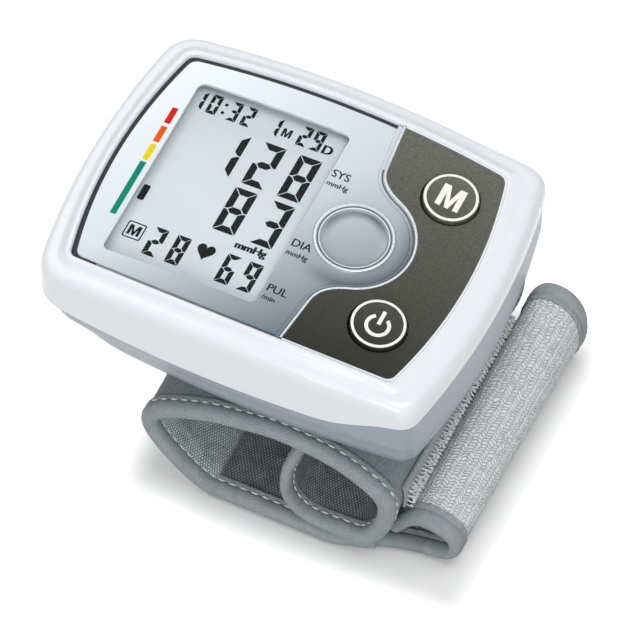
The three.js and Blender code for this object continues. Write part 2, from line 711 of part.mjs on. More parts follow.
function switchBody(sideY) {
  const half = SWITCH_SIZE / 2;
  const shift = -Math.sin(BUTTON_TILT) * (faceZ(BUTTON_X) - BOARD_TOP_Z);
  const x = BUTTON_X + shift;
  const floor = BOARD_TOP_Z + SEAT / 2;
  const top = floor + SWITCH_HEIGHT;
  const body = solid(box(x - half, x + half, sideY - half, sideY + half, floor, top));
  const hole = post(x, sideY, PLUNGER_RADIUS + PLUNGER_CLEAR, floor - CUT_OVER, top + CUT_OVER);
  return geometryOf(body.subtract(solid(hole)));
}

// Board and what is on it
function mainBoard() {
  const x0 = BOARD_X - BOARD_LENGTH / 2;
  const x1 = BOARD_X + BOARD_LENGTH / 2;
  let body = solid(box(x0, x1, -BOARD_DEPTH / 2, BOARD_DEPTH / 2, BOARD_BOTTOM_Z, BOARD_TOP_Z));
  for (const [x, y] of BOARD_POSTS) {
    body = body.subtract(solid(post(x, y, BOARD_SCREW_RADIUS + SCREW_CLEAR, 0, UNIT_HEIGHT)));
  }
  return geometryOf(body);
}

function controllerChip() {
  const half = CHIP_SIZE / 2;
  const floor = BOARD_TOP_Z + SEAT / 2;
  return box(CHIP_X - half, CHIP_X + half, -half, half, floor, floor + CHIP_HEIGHT);
}

function buzzer() {
  const floor = BOARD_TOP_Z + SEAT / 2;
  return post(BUZZER_X, 0, BUZZER_RADIUS, floor, floor + BUZZER_HEIGHT, ROUND_SIDES);
}

// Screw pointing up from the underside of its head, which is at height zero
function screw(radius, head, length) {
  const shank = length - SCREW_HEAD_THICK;
  const profile = [
    [0, -SCREW_HEAD_THICK],
    [head, -SCREW_HEAD_THICK],
    [head, 0],
    [radius, 0],
    [radius, shank],
    [0, shank],
  ];
  return turned(profile, SCREW_SIDES);
}

function boardScrew([x, y]) {
  const geometry = screw(BOARD_SCREW_RADIUS, BOARD_SCREW_HEAD, BOARD_SCREW_LENGTH);
  return geometry.rotateX(Math.PI).translate(x, y, BOARD_TOP_Z + SEAT / 2);
}

function caseScrew([x, y]) {
  const geometry = screw(SCREW_RADIUS, SCREW_HEAD, SCREW_LENGTH);
  return geometry.translate(x, y, SCREW_HEAD_THICK + SCREW_CLEAR / 2);
}

// Battery bay
function cellX(index) {
  return CELL_X + (index - 0.5) * CELL_PITCH;
}

function batteryTray() {
  const x0 = cellX(0) - CELL_RADIUS / 2;
  const x1 = cellX(1) + CELL_RADIUS / 2;
  const outer = CELL_SPAN + TRAY_WALL;
  const wallZ = CELL_Z - CONTACT_SIZE / 2;
  let body = solid(box(x0, x1, -outer, outer, CELL_Z + CELL_RADIUS / 2, TRAY_TOP_Z));
  body = body.add(solid(box(x0, x1, -outer, -CELL_SPAN, wallZ, TRAY_TOP_Z)));
  body = body.add(solid(box(x0, x1, CELL_SPAN, outer, wallZ, TRAY_TOP_Z)));
  for (const index of [0, 1]) {
    const bay = barAlongY(cellX(index), CELL_Z, CELL_RADIUS + CELL_CLEAR, -CELL_SPAN, CELL_SPAN, ROUND_SIDES);
    body = body.subtract(solid(bay));
  }
  return geometryOf(body);
}

// The two cells lie head to tail: the spring end is at the front for one and at the back for the other
function springSide(index) {
  return index === 0 ? -1 : 1;
}

function batteryCell(index) {
  const end = CELL_LENGTH / 2;
  const shoulder = end - CELL_NUB;
  const profile = [
    [0, -end],
    [CELL_RADIUS, -end],
    [CELL_RADIUS, shoulder],
    [CELL_NUB_RADIUS, shoulder],
    [CELL_NUB_RADIUS, end],
    [0, end],
  ];
  const side = springSide(index);
  const geometry = turned(profile, ROUND_SIDES).rotateX((side * Math.PI) / 2);
  return geometry.translate(cellX(index), -side * (SPRING_LENGTH / 2), CELL_Z);
}

function contactPlate(index, side) {
  const half = CONTACT_SIZE / 2;
  const x = cellX(index);
  const middleY = side * (CELL_SPAN - CELL_CLEAR / 2 - CONTACT_THICK / 2);
  const y0 = middleY - CONTACT_THICK / 2;
  return box(x - half, x + half, y0, y0 + CONTACT_THICK, CELL_Z - half, CELL_Z + half);
}

class ConeCoil extends THREE.Curve {
  constructor(wideRadius, narrowRadius, turns, length) {
    super();
    Object.assign(this, { wideRadius, narrowRadius, turns, length });
  }

  getPoint(t, target = new THREE.Vector3()) {
    const radius = THREE.MathUtils.lerp(this.wideRadius, this.narrowRadius, t);
    const turn = 2 * Math.PI * this.turns * t;
    return target.set(radius * Math.cos(turn), radius * Math.sin(turn), this.length * t);
  }
}

function springContact(index) {
  const side = springSide(index);
  const section = new THREE.Shape(circlePoints(SPRING_WIRE, 5));
  const coil = new ConeCoil(SPRING_WIDE, SPRING_NARROW, SPRING_TURNS, SPRING_LENGTH - CONTACT_THICK);
  const geometry = new THREE.ExtrudeGeometry(section, { steps: 22, extrudePath: coil, bevelEnabled: false });
  const seatY = side * (CELL_SPAN - CELL_CLEAR / 2 - CONTACT_THICK);
  geometry.rotateX((side * Math.PI) / 2).translate(cellX(index), seatY, CELL_Z);
  return geometryOf(solid(contactPlate(index, side)).add(solid(geometry)));
}

// Air parts
const MOTOR_END_Y = MOTOR_START_Y + MOTOR_LENGTH;
const PUMP_START_Y = MOTOR_END_Y + FIT_GAP;
const PUMP_END_Y = PUMP_START_Y + PUMP_LENGTH;
const SHAFT_START_Y = MOTOR_END_Y - SHAFT_LENGTH / 2;

function pumpMotor() {
  const can = solid(barAlongY(PUMP_X, AIR_Z, MOTOR_RADIUS, MOTOR_START_Y, MOTOR_END_Y, ROUND_SIDES));
  const start = SHAFT_START_Y - FIT_GAP;
  const bore = barAlongY(PUMP_X, AIR_Z, SHAFT_RADIUS + SHAFT_CLEAR, start, MOTOR_END_Y + CUT_OVER);
  return geometryOf(can.subtract(solid(bore)));
}

function motorShaft() {
  const tip = SHAFT_START_Y + SHAFT_LENGTH;
  const shaft = solid(barAlongY(PUMP_X, AIR_Z, SHAFT_RADIUS, SHAFT_START_Y, tip));
  const crankZ = AIR_Z - ECCENTRIC_SHIFT;
  const crank = barAlongY(PUMP_X, crankZ, ECCENTRIC_RADIUS, tip - ECCENTRIC_LENGTH, tip + SEAT);
  return geometryOf(shaft.add(solid(crank)));
}

function pumpHead() {
  const half = PUMP_WIDTH / 2;
  const bottom = CASE_WALL + FIT_GAP;
  const top = AIR_Z + MOTOR_RADIUS;
  const body = solid(box(PUMP_X - half, PUMP_X + half, PUMP_START_Y, PUMP_END_Y, bottom, top));
  const chamberEnd = PUMP_START_Y + PUMP_CHAMBER_DEPTH;
  const chamber = barAlongY(PUMP_X, AIR_Z, PUMP_CHAMBER_RADIUS, PUMP_START_Y - CUT_OVER, chamberEnd);
  const barb = barAlongY(PUMP_X, AIR_Z, BARB_RADIUS, PUMP_END_Y - BARB_ROOT, PUMP_END_Y + BARB_LENGTH);
  return geometryOf(body.subtract(solid(chamber)).add(solid(barb)));
}

const MANIFOLD_END_Y = MANIFOLD_Y + MANIFOLD_DEPTH / 2;
const MANIFOLD_TOP_Z = MANIFOLD_Z + MANIFOLD_HEIGHT;
const MANIFOLD_RIGHT = MANIFOLD_LEFT + MANIFOLD_LENGTH;

function airManifold() {
  const y0 = MANIFOLD_Y - MANIFOLD_DEPTH / 2;
  let body = solid(box(MANIFOLD_LEFT, MANIFOLD_RIGHT, y0, MANIFOLD_END_Y, MANIFOLD_Z, MANIFOLD_TOP_Z));
  const tip = MANIFOLD_END_Y + BARB_LENGTH;
  body = body.add(solid(barAlongY(NOZZLE_X, AIR_Z, BARB_RADIUS, MANIFOLD_END_Y - BARB_ROOT, tip)));
  const socketTop = MANIFOLD_Z + SOCKET_DEPTH;
  const socket = post(NOZZLE_X, MANIFOLD_Y, NOZZLE_RADIUS + NOZZLE_CLEAR, MANIFOLD_Z - CUT_OVER, socketTop);
  const portBottom = MANIFOLD_TOP_Z - SOCKET_DEPTH;
  const port = post(NOZZLE_X, MANIFOLD_Y, SENSOR_PORT + NOZZLE_CLEAR, portBottom, MANIFOLD_TOP_Z + CUT_OVER);
  return geometryOf(body.subtract(solid(socket)).subtract(solid(port)));
}

function airTube() {
  const bore = BARB_RADIUS + TUBE_BORE_CLEAR;
  const startY = PUMP_END_Y + FIT_GAP;
  const endY = MANIFOLD_END_Y + FIT_GAP;
  const bendY = Math.max(startY, endY) + BARB_LENGTH;
  const route = new THREE.CurvePath();
  const at = (x, y) => new THREE.Vector3(x, y, AIR_Z);
  const bend = Array.from({ length: BEND_STEPS + 1 }, (_, i) => {
    const angle = Math.PI * (1 - i / BEND_STEPS);
    return at(PUMP_X + BEND_RADIUS * (1 + Math.cos(angle)), bendY + BEND_RADIUS * Math.sin(angle));
  });
  route.add(new THREE.LineCurve3(at(PUMP_X, startY), at(PUMP_X, bendY)));
  route.add(new THREE.CatmullRomCurve3(bend));
  route.add(new THREE.LineCurve3(at(NOZZLE_X, bendY), at(NOZZLE_X, endY)));
  const section = new THREE.Shape(circlePoints(TUBE_RADIUS, TUBE_SIDES));
  section.holes.push(new THREE.Path(circlePoints(bore, TUBE_SIDES).reverse()));
  return new THREE.ExtrudeGeometry(section, { steps: 20, extrudePath: route, bevelEnabled: false });
}

function pressureSensor() {
  const half = SENSOR_SIZE / 2;
  const top = BOARD_BOTTOM_Z - SEAT / 2;
  const bottom = top - SENSOR_HEIGHT;
  const x0 = NOZZLE_X - half;
  const y0 = MANIFOLD_Y - half;
  const body = solid(box(x0, x0 + SENSOR_SIZE, y0, y0 + SENSOR_SIZE, bottom, top));
  const port = post(NOZZLE_X, MANIFOLD_Y, SENSOR_PORT, MANIFOLD_TOP_Z - SENSOR_PORT, bottom + SENSOR_PORT);
  return geometryOf(body.add(solid(port)));
}

function sensorSeal() {
  const z0 = MANIFOLD_TOP_Z + SEAT;
  const z1 = BOARD_BOTTOM_Z - SENSOR_HEIGHT - SEAT;
  const inner = SENSOR_PORT + SHAFT_CLEAR;
  const outer = inner + SEAL_WIDTH;
  const section = [[inner, z0], [outer, z0], [outer, z1], [inner, z1], [inner, z0]];
  return turned(section, ROUND_SIDES).translate(NOZZLE_X, MANIFOLD_Y, 0);
}

const VALVE_LEFT = MANIFOLD_RIGHT + FIT_GAP;

function releaseValve() {
  const half = VALVE_SIZE / 2;
  const right = VALVE_LEFT + VALVE_LENGTH;
  const y0 = MANIFOLD_Y - half;
  const body = solid(box(VALVE_LEFT, right, y0, y0 + VALVE_SIZE, AIR_Z - half, AIR_Z + half));
  const bore = barAlongX(MANIFOLD_Y, AIR_Z, VALVE_BORE, VALVE_LEFT - CUT_OVER, VALVE_LEFT + VALVE_BORE_DEPTH);
  return geometryOf(body.subtract(solid(bore)));
}

function valvePlunger() {
  const start = VALVE_LEFT - FIT_GAP / 2;
  const end = VALVE_LEFT + VALVE_BORE_DEPTH - VALVE_TRAVEL - FIT_GAP;
  return barAlongX(MANIFOLD_Y, AIR_Z, VALVE_BORE - VALVE_CLEAR, start, end);
}

function cuffNozzle() {
  const bottom = BLADDER_TOP_Z + PLY_GAP - UNIT_Z;
  const top = MANIFOLD_Z + SOCKET_DEPTH - FIT_GAP;
  const seat = CASE_WALL + FIT_GAP;
  const profile = [
    [NOZZLE_BORE, bottom],
    [NOZZLE_RADIUS, bottom],
    [NOZZLE_RADIUS, seat],
    [NOZZLE_FLANGE, seat],
    [NOZZLE_FLANGE, seat + NOZZLE_FLANGE_THICK],
    [NOZZLE_RADIUS, seat + NOZZLE_FLANGE_THICK],
    [NOZZLE_RADIUS, top],
    [NOZZLE_BORE, top],
    [NOZZLE_BORE, bottom],
  ];
  return turned(profile, ROUND_SIDES).translate(NOZZLE_X, MANIFOLD_Y, 0);
}

// Cuff: stations along the middle of the strip, each with its outward normal
const MID = STRAP_THICK / 2;
const RIGHT_X = LOOP_RIGHT - MID;
const LEFT_X = MID - LOOP_LEFT;
const CREST_Z = LOOP_HEIGHT - MID;
const FLAP_Z = STRAP_THICK + LAYER_GAP + MID;
const COVER_INNER = MID - COVER_THICK;
const STIFFENER_OUTER = COVER_INNER - PLY_GAP;
const BLADDER_OUTER = STIFFENER_OUTER - STIFFENER_THICK - PLY_GAP;
const BLADDER_TOP_Z = CREST_Z + BLADDER_OUTER;

function stationsOf(points) {
  return points.map((point, i) => {
    const before = points[Math.max(i - 1, 0)];
    const after = points[Math.min(i + 1, points.length - 1)];
    const along = new THREE.Vector2().subVectors(after, before).normalize();
    const normal = new THREE.Vector2(along.y, -along.x);
    return (offset) => point.clone().addScaledVector(normal, offset);
  });
}

function loopPath(startX) {
  const path = new THREE.Path();
  path.moveTo(startX, FLAP_Z);
  path.lineTo(FLAP_TURN_X, FLAP_Z);
  const turnX = FLAP_TURN_X + FLAP_TURN_PULL;
  path.bezierCurveTo(turnX, FLAP_Z, RIGHT_X, LOOP_RIGHT_Z - SIDE_PULL, RIGHT_X, LOOP_RIGHT_Z);
  const crestRight = LOOP_CREST_X + CREST_PULL_RIGHT;
  path.bezierCurveTo(RIGHT_X, LOOP_RIGHT_Z + SIDE_PULL, crestRight, CREST_Z, LOOP_CREST_X, CREST_Z);
  const crestLeft = LOOP_CREST_X - CREST_PULL_LEFT;
  path.bezierCurveTo(crestLeft, CREST_Z, LEFT_X, LOOP_LEFT_Z + SIDE_PULL, LEFT_X, LOOP_LEFT_Z);
  const flatX = -FLAT_LEFT - FLAT_PULL;
  path.bezierCurveTo(LEFT_X, LOOP_LEFT_Z - FOLD_PULL, flatX, MID, -FLAT_LEFT, MID);
  path.lineTo(CUFF_END_X, MID);
  return path.getPoints(CURVE_STEPS);
}

// Station numbers: flap start, turn start, then the curves in steps
const TURN_END = 1 + CURVE_STEPS;
const CREST = TURN_END + CURVE_STEPS;
const LEFT_SIDE = CREST + CURVE_STEPS;

const edgeStations = stationsOf(loopPath(FLAP_END_X));
const plyStations = stationsOf(loopPath(FLAP_END_X + BINDING_WIDTH + PLY_GAP));
const CUFF_FRONT = -CUFF_WIDTH / 2;
const CUFF_REAR = CUFF_WIDTH / 2;
const PLY_FRONT = CUFF_FRONT + BINDING_WIDTH + PLY_GAP;
const PLY_REAR = CUFF_REAR - BINDING_WIDTH - PLY_GAP;

function ribbon(stations, inner, outer, y0, y1) {
  const inside = stations.map((at) => at(inner));
  const outside = stations.map((at) => at(outer)).reverse();
  return alongY([...inside, ...outside], y0, y1);
}

function nozzleCut(geometry) {
  const x = UNIT_OFFSET_X + NOZZLE_X;
  const hole = post(x, MANIFOLD_Y, NOZZLE_RADIUS + NOZZLE_CLEAR, BLADDER_TOP_Z + PLY_GAP / 2, UNIT_Z);
  return geometryOf(solid(geometry).subtract(solid(hole)));
}

function cuffCover() {
  return nozzleCut(ribbon(plyStations, COVER_INNER, MID, PLY_FRONT, PLY_REAR));
}

function cuffLiner() {
  return ribbon(plyStations, -MID, LINER_THICK - MID, PLY_FRONT, PLY_REAR);
}

function stiffener() {
  const stretch = plyStations.slice(TURN_END + 1, LEFT_SIDE);
  const inset = 3 * BINDING_WIDTH;
  const inner = STIFFENER_OUTER - STIFFENER_THICK;
  return nozzleCut(ribbon(stretch, inner, STIFFENER_OUTER, PLY_FRONT + inset, PLY_REAR - inset));
}

function airBladder() {
  const stretch = plyStations.slice(TURN_END, LEFT_SIDE + 1);
  const inset = 2 * BINDING_WIDTH;
  return ribbon(stretch, BLADDER_OUTER - BLADDER_THICK, BLADDER_OUTER, PLY_FRONT + inset, PLY_REAR - inset);
}

function cuffBinding() {
  const front = solid(ribbon(edgeStations, -MID, MID, CUFF_FRONT, CUFF_FRONT + BINDING_WIDTH));
  const rear = solid(ribbon(edgeStations, -MID, MID, CUFF_REAR - BINDING_WIDTH, CUFF_REAR));
  const end = box(FLAP_END_X, FLAP_END_X + BINDING_WIDTH, CUFF_FRONT, CUFF_REAR, FLAP_Z - MID, FLAP_Z + MID);
  return geometryOf(front.add(rear).add(solid(end)));
}

function cuffPlate() {
  const stretch = plyStations.slice(CREST - CURVE_STEPS / 2, CREST + CURVE_STEPS / 2);
  const under = stretch.map((at) => at(MID + CREST_GAP));
  const top = UNIT_Z - CREST_GAP;
  const points = [...under, new THREE.Vector2(under.at(-1).x, top), new THREE.Vector2(under[0].x, top)];
  return nozzleCut(alongY(points, -PLATE_DEPTH / 2, PLATE_DEPTH / 2));
}

function hookTape() {
  const stretch = plyStations.slice(TURN_END, TURN_END + CURVE_STEPS / 2);
  return ribbon(stretch, MID + HOOK_GAP, MID + HOOK_GAP + HOOK_THICK, TAIL_FRONT_Y, TAIL_REAR_Y);
}

// Strap tail
const TAIL_MID = TAIL_THICK / 2;
const TAIL_X = TAIL_REACH - TAIL_MID;

function tailBase() {
  const path = new THREE.Path();
  path.moveTo(CUFF_END_X + FIT_GAP, TAIL_MID);
  path.lineTo(TAIL_FLAT_END, TAIL_MID);
  const top = TAIL_FOLD_Z - FIT_GAP / 2;
  path.bezierCurveTo(TAIL_FLAT_END + TAIL_PULL, TAIL_MID, TAIL_X, TAIL_MID + TAIL_PULL / 2, TAIL_X, top);
  return ribbon(stationsOf(path.getPoints(CURVE_STEPS)), -TAIL_MID, TAIL_MID, TAIL_FRONT_Y, TAIL_REAR_Y);
}

function tailFlap() {
  const crest = TAIL_HEIGHT - TAIL_MID;
  const path = new THREE.Path();
  path.moveTo(TAIL_X, TAIL_FOLD_Z + FIT_GAP / 2);
  const foldTop = TAIL_FOLD_Z + TAIL_PULL;
  path.bezierCurveTo(TAIL_X, foldTop, TAIL_CREST_X + TAIL_CREST_PULL, crest, TAIL_CREST_X, crest);
  const endTop = TAIL_END_Z + TAIL_PULL;
  path.bezierCurveTo(TAIL_CREST_X - TAIL_CREST_PULL, crest, TAIL_END_X, endTop, TAIL_END_X, TAIL_END_Z);
  return ribbon(stationsOf(path.getPoints(CURVE_STEPS)), -TAIL_MID, TAIL_MID, TAIL_FRONT_Y, TAIL_REAR_Y);
}

// Assembly
const WHITE_PLASTIC = { color: '#f2f4f7', roughness: 0.25, metalness: 0 };
const SILVER_PLASTIC = { color: '#a4adb5', roughness: 0.4, metalness: 0.2 };
const FASCIA_SILVER = { color: '#c3cbd2', roughness: 0.35, metalness: 0.5 };
const DARK_PANEL = { color: '#53544e', roughness: 0.6, metalness: 0.1 };
const CLEAR_PLASTIC = { color: '#dfe6e6', roughness: 0.05, metalness: 0 };
const DISPLAY_GLASS = { color: '#b9c2b4', roughness: 0.15, metalness: 0 };
const GREY_PLASTIC = { color: '#8b9094', roughness: 0.6, metalness: 0 };
const BLACK_PLASTIC = { color: '#26282a', roughness: 0.6, metalness: 0 };
const BOARD_GREEN = { color: '#2f6b45', roughness: 0.5, metalness: 0 };
const STEEL = { color: '#b5b8ba', roughness: 0.3, metalness: 1 };
const CELL_JACKET = { color: '#44658f', roughness: 0.4, metalness: 0.3 };
const RUBBER = { color: '#3a3b3c', roughness: 0.8, metalness: 0 };
const FELT = { color: '#7f868a', roughness: 0.95, metalness: 0 };
const KNIT = { color: '#4e5254', roughness: 0.95, metalness: 0 };
const BINDING_TAPE = { color: '#9da3a5', roughness: 0.9, metalness: 0 };
const PILE = { color: '#c3c7c8', roughness: 1, metalness: 0 };

function add(parent, name, geometry, finish) {
  const mesh = new THREE.Mesh(geometry, new THREE.MeshStandardMaterial(finish));
  mesh.name = name;
  parent.add(mesh);
}

function addButton(unit, name, sideY) {
  const group = new THREE.Group();
  group.applyMatrix4(buttonFrame(sideY));
  add(group, `${name}_button`, buttonCap(), DARK_PANEL);
  add(group, `${name}_plunger`, switchPlunger(), BLACK_PLASTIC);
  unit.add(group);
  add(unit, `${name}_switch`, switchBody(sideY), BLACK_PLASTIC);
}

function addUnit(parent) {
  const unit = new THREE.Group();
  unit.position.set(UNIT_OFFSET_X, 0, UNIT_Z);
  parent.add(unit);
  add(unit, 'top_cover', topCover(), WHITE_PLASTIC);
  add(unit, 'bottom_case', bottomCase(), SILVER_PLASTIC);
  add(unit, 'battery_cover', batteryCover(), SILVER_PLASTIC);
  add(unit, 'fascia_panel', fasciaPanel(), FASCIA_SILVER);
  add(unit, 'button_panel', buttonPanel(), DARK_PANEL);
  add(unit, 'display_lens', displayLens(), CLEAR_PLASTIC);
  add(unit, 'display_module', displayModule(), DISPLAY_GLASS);
  add(unit, 'display_holder', displayHolder(), GREY_PLASTIC);
  add(unit, 'contact_strip', contactStrip(), RUBBER);
  addButton(unit, 'memory', BUTTON_Y);
  addButton(unit, 'power', -BUTTON_Y);
  add(unit, 'main_board', mainBoard(), BOARD_GREEN);
  add(unit, 'controller_chip', controllerChip(), BLACK_PLASTIC);
  add(unit, 'buzzer', buzzer(), BLACK_PLASTIC);
  BOARD_POSTS.forEach((place, i) => add(unit, `board_screw_${i + 1}`, boardScrew(place), STEEL));
  SCREW_PLACES.forEach((place, i) => add(unit, `case_screw_${i + 1}`, caseScrew(place), STEEL));
  add(unit, 'battery_tray', batteryTray(), BLACK_PLASTIC);
  for (const index of [0, 1]) {
    add(unit, `battery_${index + 1}`, batteryCell(index), CELL_JACKET);
    add(unit, `spring_contact_${index + 1}`, springContact(index), STEEL);
    add(unit, `plate_contact_${index + 1}`, contactPlate(index, -springSide(index)), STEEL);
  }
  add(unit, 'pump_motor', pumpMotor(), STEEL);
  add(unit, 'motor_shaft', motorShaft(), STEEL);
  add(unit, 'pump_head', pumpHead(), BLACK_PLASTIC);
  add(unit, 'air_manifold', airManifold(), GREY_PLASTIC);
  add(unit, 'air_tube', airTube(), RUBBER);
  add(unit, 'pressure_sensor', pressureSensor(), BLACK_PLASTIC);
  add(unit, 'sensor_seal', sensorSeal(), RUBBER);
  add(unit, 'release_valve', releaseValve(), STEEL);
  add(unit, 'valve_plunger', valvePlunger(), STEEL);
  add(unit, 'cuff_nozzle', cuffNozzle(), GREY_PLASTIC);
}

function addCuff(parent) {
  add(parent, 'cuff_plate', cuffPlate(), GREY_PLASTIC);
  add(parent, 'cuff_cover', cuffCover(), FELT);
  add(parent, 'stiffener', stiffener(), BLACK_PLASTIC);
  add(parent, 'air_bladder', airBladder(), RUBBER);
  add(parent, 'cuff_liner', cuffLiner(), KNIT);
  add(parent, 'cuff_binding', cuffBinding(), BINDING_TAPE);
  add(parent, 'hook_tape', hookTape(), PILE);
  add(parent, 'strap_base', tailBase(), PILE);
  add(parent, 'strap_flap', tailFlap(), PILE);
}

const monitor = new THREE.Group();
addUnit(monitor);
addCuff(monitor);

export default monitor;
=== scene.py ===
"""Looks of a wrist blood pressure monitor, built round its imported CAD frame.

The file is laid out as an add-on and is run as a script. Pieces are modelled in millimetres, and
settle() then puts each one into the frame, in metres.
"""

import json
import math

import bmesh
import bpy
from mathutils import Matrix, Vector, noise
from mathutils.geometry import interpolate_bezier


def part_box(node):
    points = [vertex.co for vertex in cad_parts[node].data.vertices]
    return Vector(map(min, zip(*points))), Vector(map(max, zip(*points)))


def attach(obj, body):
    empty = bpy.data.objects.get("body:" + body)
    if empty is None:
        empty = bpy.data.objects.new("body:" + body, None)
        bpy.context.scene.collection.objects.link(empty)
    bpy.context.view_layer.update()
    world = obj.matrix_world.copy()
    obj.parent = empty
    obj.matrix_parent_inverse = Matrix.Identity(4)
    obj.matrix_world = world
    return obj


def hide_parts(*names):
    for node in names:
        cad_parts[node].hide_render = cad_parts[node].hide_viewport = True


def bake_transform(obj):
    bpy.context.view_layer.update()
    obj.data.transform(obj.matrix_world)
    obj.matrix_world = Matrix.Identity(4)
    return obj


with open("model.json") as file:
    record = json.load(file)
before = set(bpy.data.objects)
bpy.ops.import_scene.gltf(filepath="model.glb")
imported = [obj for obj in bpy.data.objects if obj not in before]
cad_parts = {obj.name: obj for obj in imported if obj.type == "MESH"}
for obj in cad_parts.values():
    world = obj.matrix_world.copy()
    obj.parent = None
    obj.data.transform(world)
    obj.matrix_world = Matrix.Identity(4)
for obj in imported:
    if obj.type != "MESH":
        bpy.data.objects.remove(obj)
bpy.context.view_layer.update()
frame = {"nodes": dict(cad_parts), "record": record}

bl_info = {
    "name": "Wrist Blood Pressure Monitor",
    "version": (1, 0, 0),
    "blender": (4, 5, 0),
    "location": "View3D > Sidebar > Monitor",
    "description": "Builds a wrist blood pressure monitor on its closed cuff",
    "category": "Add Mesh",
}

MM = 0.001
COVER_LOW, COVER_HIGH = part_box("top_cover")
END_REACH = 2.0
CASE_LENGTH = (COVER_HIGH.x - COVER_LOW.x) / MM - END_REACH
UNIT = Vector((COVER_LOW.x / MM + CASE_LENGTH / 2, 0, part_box("bottom_case")[0].z / MM))
TABLE = Vector((0, 0, 0))


def linear(code):
    """An sRGB hex colour as linear red, green, blue and alpha."""
    channels = [int(code[i : i + 2], 16) / 255 for i in (1, 3, 5)]
    curve = [c / 12.92 if c <= 0.04045 else ((c + 0.055) / 1.055) ** 2.4 for c in channels]
    return (*curve, 1.0)


def length(name, description, millimetres):
    return bpy.props.FloatProperty(
        name=name, description=description, default=millimetres * MM, unit="LENGTH", precision=5
    )


def colour(name, description, code):
    return bpy.props.FloatVectorProperty(
        name=name, description=description, default=linear(code), size=4, subtype="COLOR", min=0, max=1
    )


# Settings


class MonitorCaseSettings(bpy.types.PropertyGroup):
    long: length("Length", "Case with the same rim at both ends", CASE_LENGTH)
    reach: length("Button end", "How much wider the rim is at the button end", END_REACH)
    pull: length("Display end", "How much wider the rim is inside, at the display end", 0.9)
    deep: length("Depth", "Case along the wrist", (COVER_HIGH.y - COVER_LOW.y) / MM)
    face: length("Face height", "Underside of the case to the middle of the face", 24.4)
    arch: length("Arch radius", "Radius of the arch that the face follows along its length", 250)
    rim_end: length("Rim at the ends", "Case edge to the face panel at the two ends", 3.9)
    rim_side: length("Rim at the sides", "Case edge to the face panel at the front and back", 5.2)
    rim_rise: length("Rim rise", "How far the rim stands above the face", 1)
    panel_rise: length("Button panel rise", "How far the button panel stands above the fascia", 0.8)
    white: colour("Cover", "Glossy white cover", "#E7EAEE")
    silver: colour("Lower case", "Satin silver lower case", "#8D97A0")
    # The fascia's three tones are its silver print with a painted reflection: light by the display, dark by
    # the power button
    fascia_light: colour("Fascia, light end", "Printed silver by the display", "#E8EDF0")
    fascia_middle: colour("Fascia, middle", "Printed silver round the dish", "#CDD6DC")
    fascia_dark: colour("Fascia, dark end", "Printed silver by the power button", "#5E6D79")
    # The button panel's dark end is painted shade on the same paint
    panel: colour("Button panel", "Olive grey textured paint", "#626359")
    panel_shaded: colour("Button panel, dark end", "The same paint by the power button", "#16180F")
    mark: colour("Marks", "Rings and symbols on the buttons", "#F4F4EC")


class MonitorDisplaySettings(bpy.types.PropertyGroup):
    middle_x: length("Window middle X", "Middle of the window from the middle of the case", -12.1)
    middle_y: length("Window middle Y", "Middle of the window from the middle of the case", -0.5)
    long: length("Window length", "Window along the case", 30.9)
    deep: length("Window depth", "Window across the case", 41.2)
    drop: length("Display drop", "Face to the display's surface", 1.7)
    glass: colour("Display", "Liquid crystal with nothing shown", "#DBE3E8")
    ink: colour("Segments", "Liquid crystal segments that are on", "#090B0C")
    print: colour("Labels", "Printed labels on the fascia", "#1E252B")


class MonitorCuffSettings(bpy.types.PropertyGroup):
    wide: length("Cuff width", "Cuff along the wrist", 59.5)
    thick: length("Cuff thickness", "Cuff at its bound edge", 3.2)
    bound: length("Binding width", "Tape on each face of the cuff, from its edge", 3.7)
    end_radius: length("Flap corner", "Radius of the inner flap's corners", 8)
    felt: colour("Felt", "Outside of the cuff", "#8D9498")
    knit: colour("Knit", "Lining of the cuff", "#9AA1A4")
    tape: colour("Binding", "Woven tape round the edges", "#A9B1B4")
    pile: colour("Loop pile", "Strap tail", "#E0E4E6")
    thread: colour("Thread", "Sewing thread", "#DCE0E1")


# Modelling helpers


def begin():
    """Object mode with nothing selected."""
    if bpy.context.mode != "OBJECT":
        bpy.ops.object.mode_set(mode="OBJECT")
    bpy.ops.object.select_all(action="DESELECT")


def added(name, make, **settings):
    """A new object, made by one of Blender's own add operators."""
    begin()
    make(**settings)
    piece = bpy.context.active_object
    piece.name = name
    return piece


def pick(piece):
    begin()
    piece.select_set(True)
    bpy.context.view_layer.objects.active = piece


def edit_all(piece):
    pick(piece)
    bpy.ops.object.mode_set(mode="EDIT")
    bpy.ops.mesh.select_all(action="SELECT")


def outward(piece):
    """Turns the normals of a piece in edit mode outwards and leaves that mode."""
    bpy.ops.mesh.select_all(action="SELECT")
    bpy.ops.mesh.normals_make_consistent(inside=False)
    begin()
    return piece


def modify(piece, kind, **settings):
    """Adds a modifier and applies it."""
    pick(piece)
    modifier = piece.modifiers.new(kind.title(), kind)
    for name, value in settings.items():
        setattr(modifier, name, value)
    bpy.ops.object.modifier_apply(modifier=modifier.name)
    return piece


def carve(piece, cutter, operation="DIFFERENCE"):
    modify(piece, "BOOLEAN", object=cutter, operation=operation, solver="EXACT")
    bpy.data.objects.remove(cutter)
    return piece


def joined(pieces, name):
    begin()
    for piece in pieces:
        piece.select_set(True)
    bpy.context.view_layer.objects.active = pieces[0]
    if len(pieces) > 1:
        bpy.ops.object.join()
    pieces[0].name = name
    return pieces[0]


def sheet(name, along, across, place):
    """A grid whose point at shares u and v is laid at place(u, v), with u and v as its UV map."""
    piece = added(name, bpy.ops.mesh.primitive_grid_add, x_subdivisions=along, y_subdivisions=across, size=2)
    for vertex in piece.data.vertices:
        vertex.co = place((vertex.co.x + 1) / 2, (vertex.co.y + 1) / 2)
    return piece


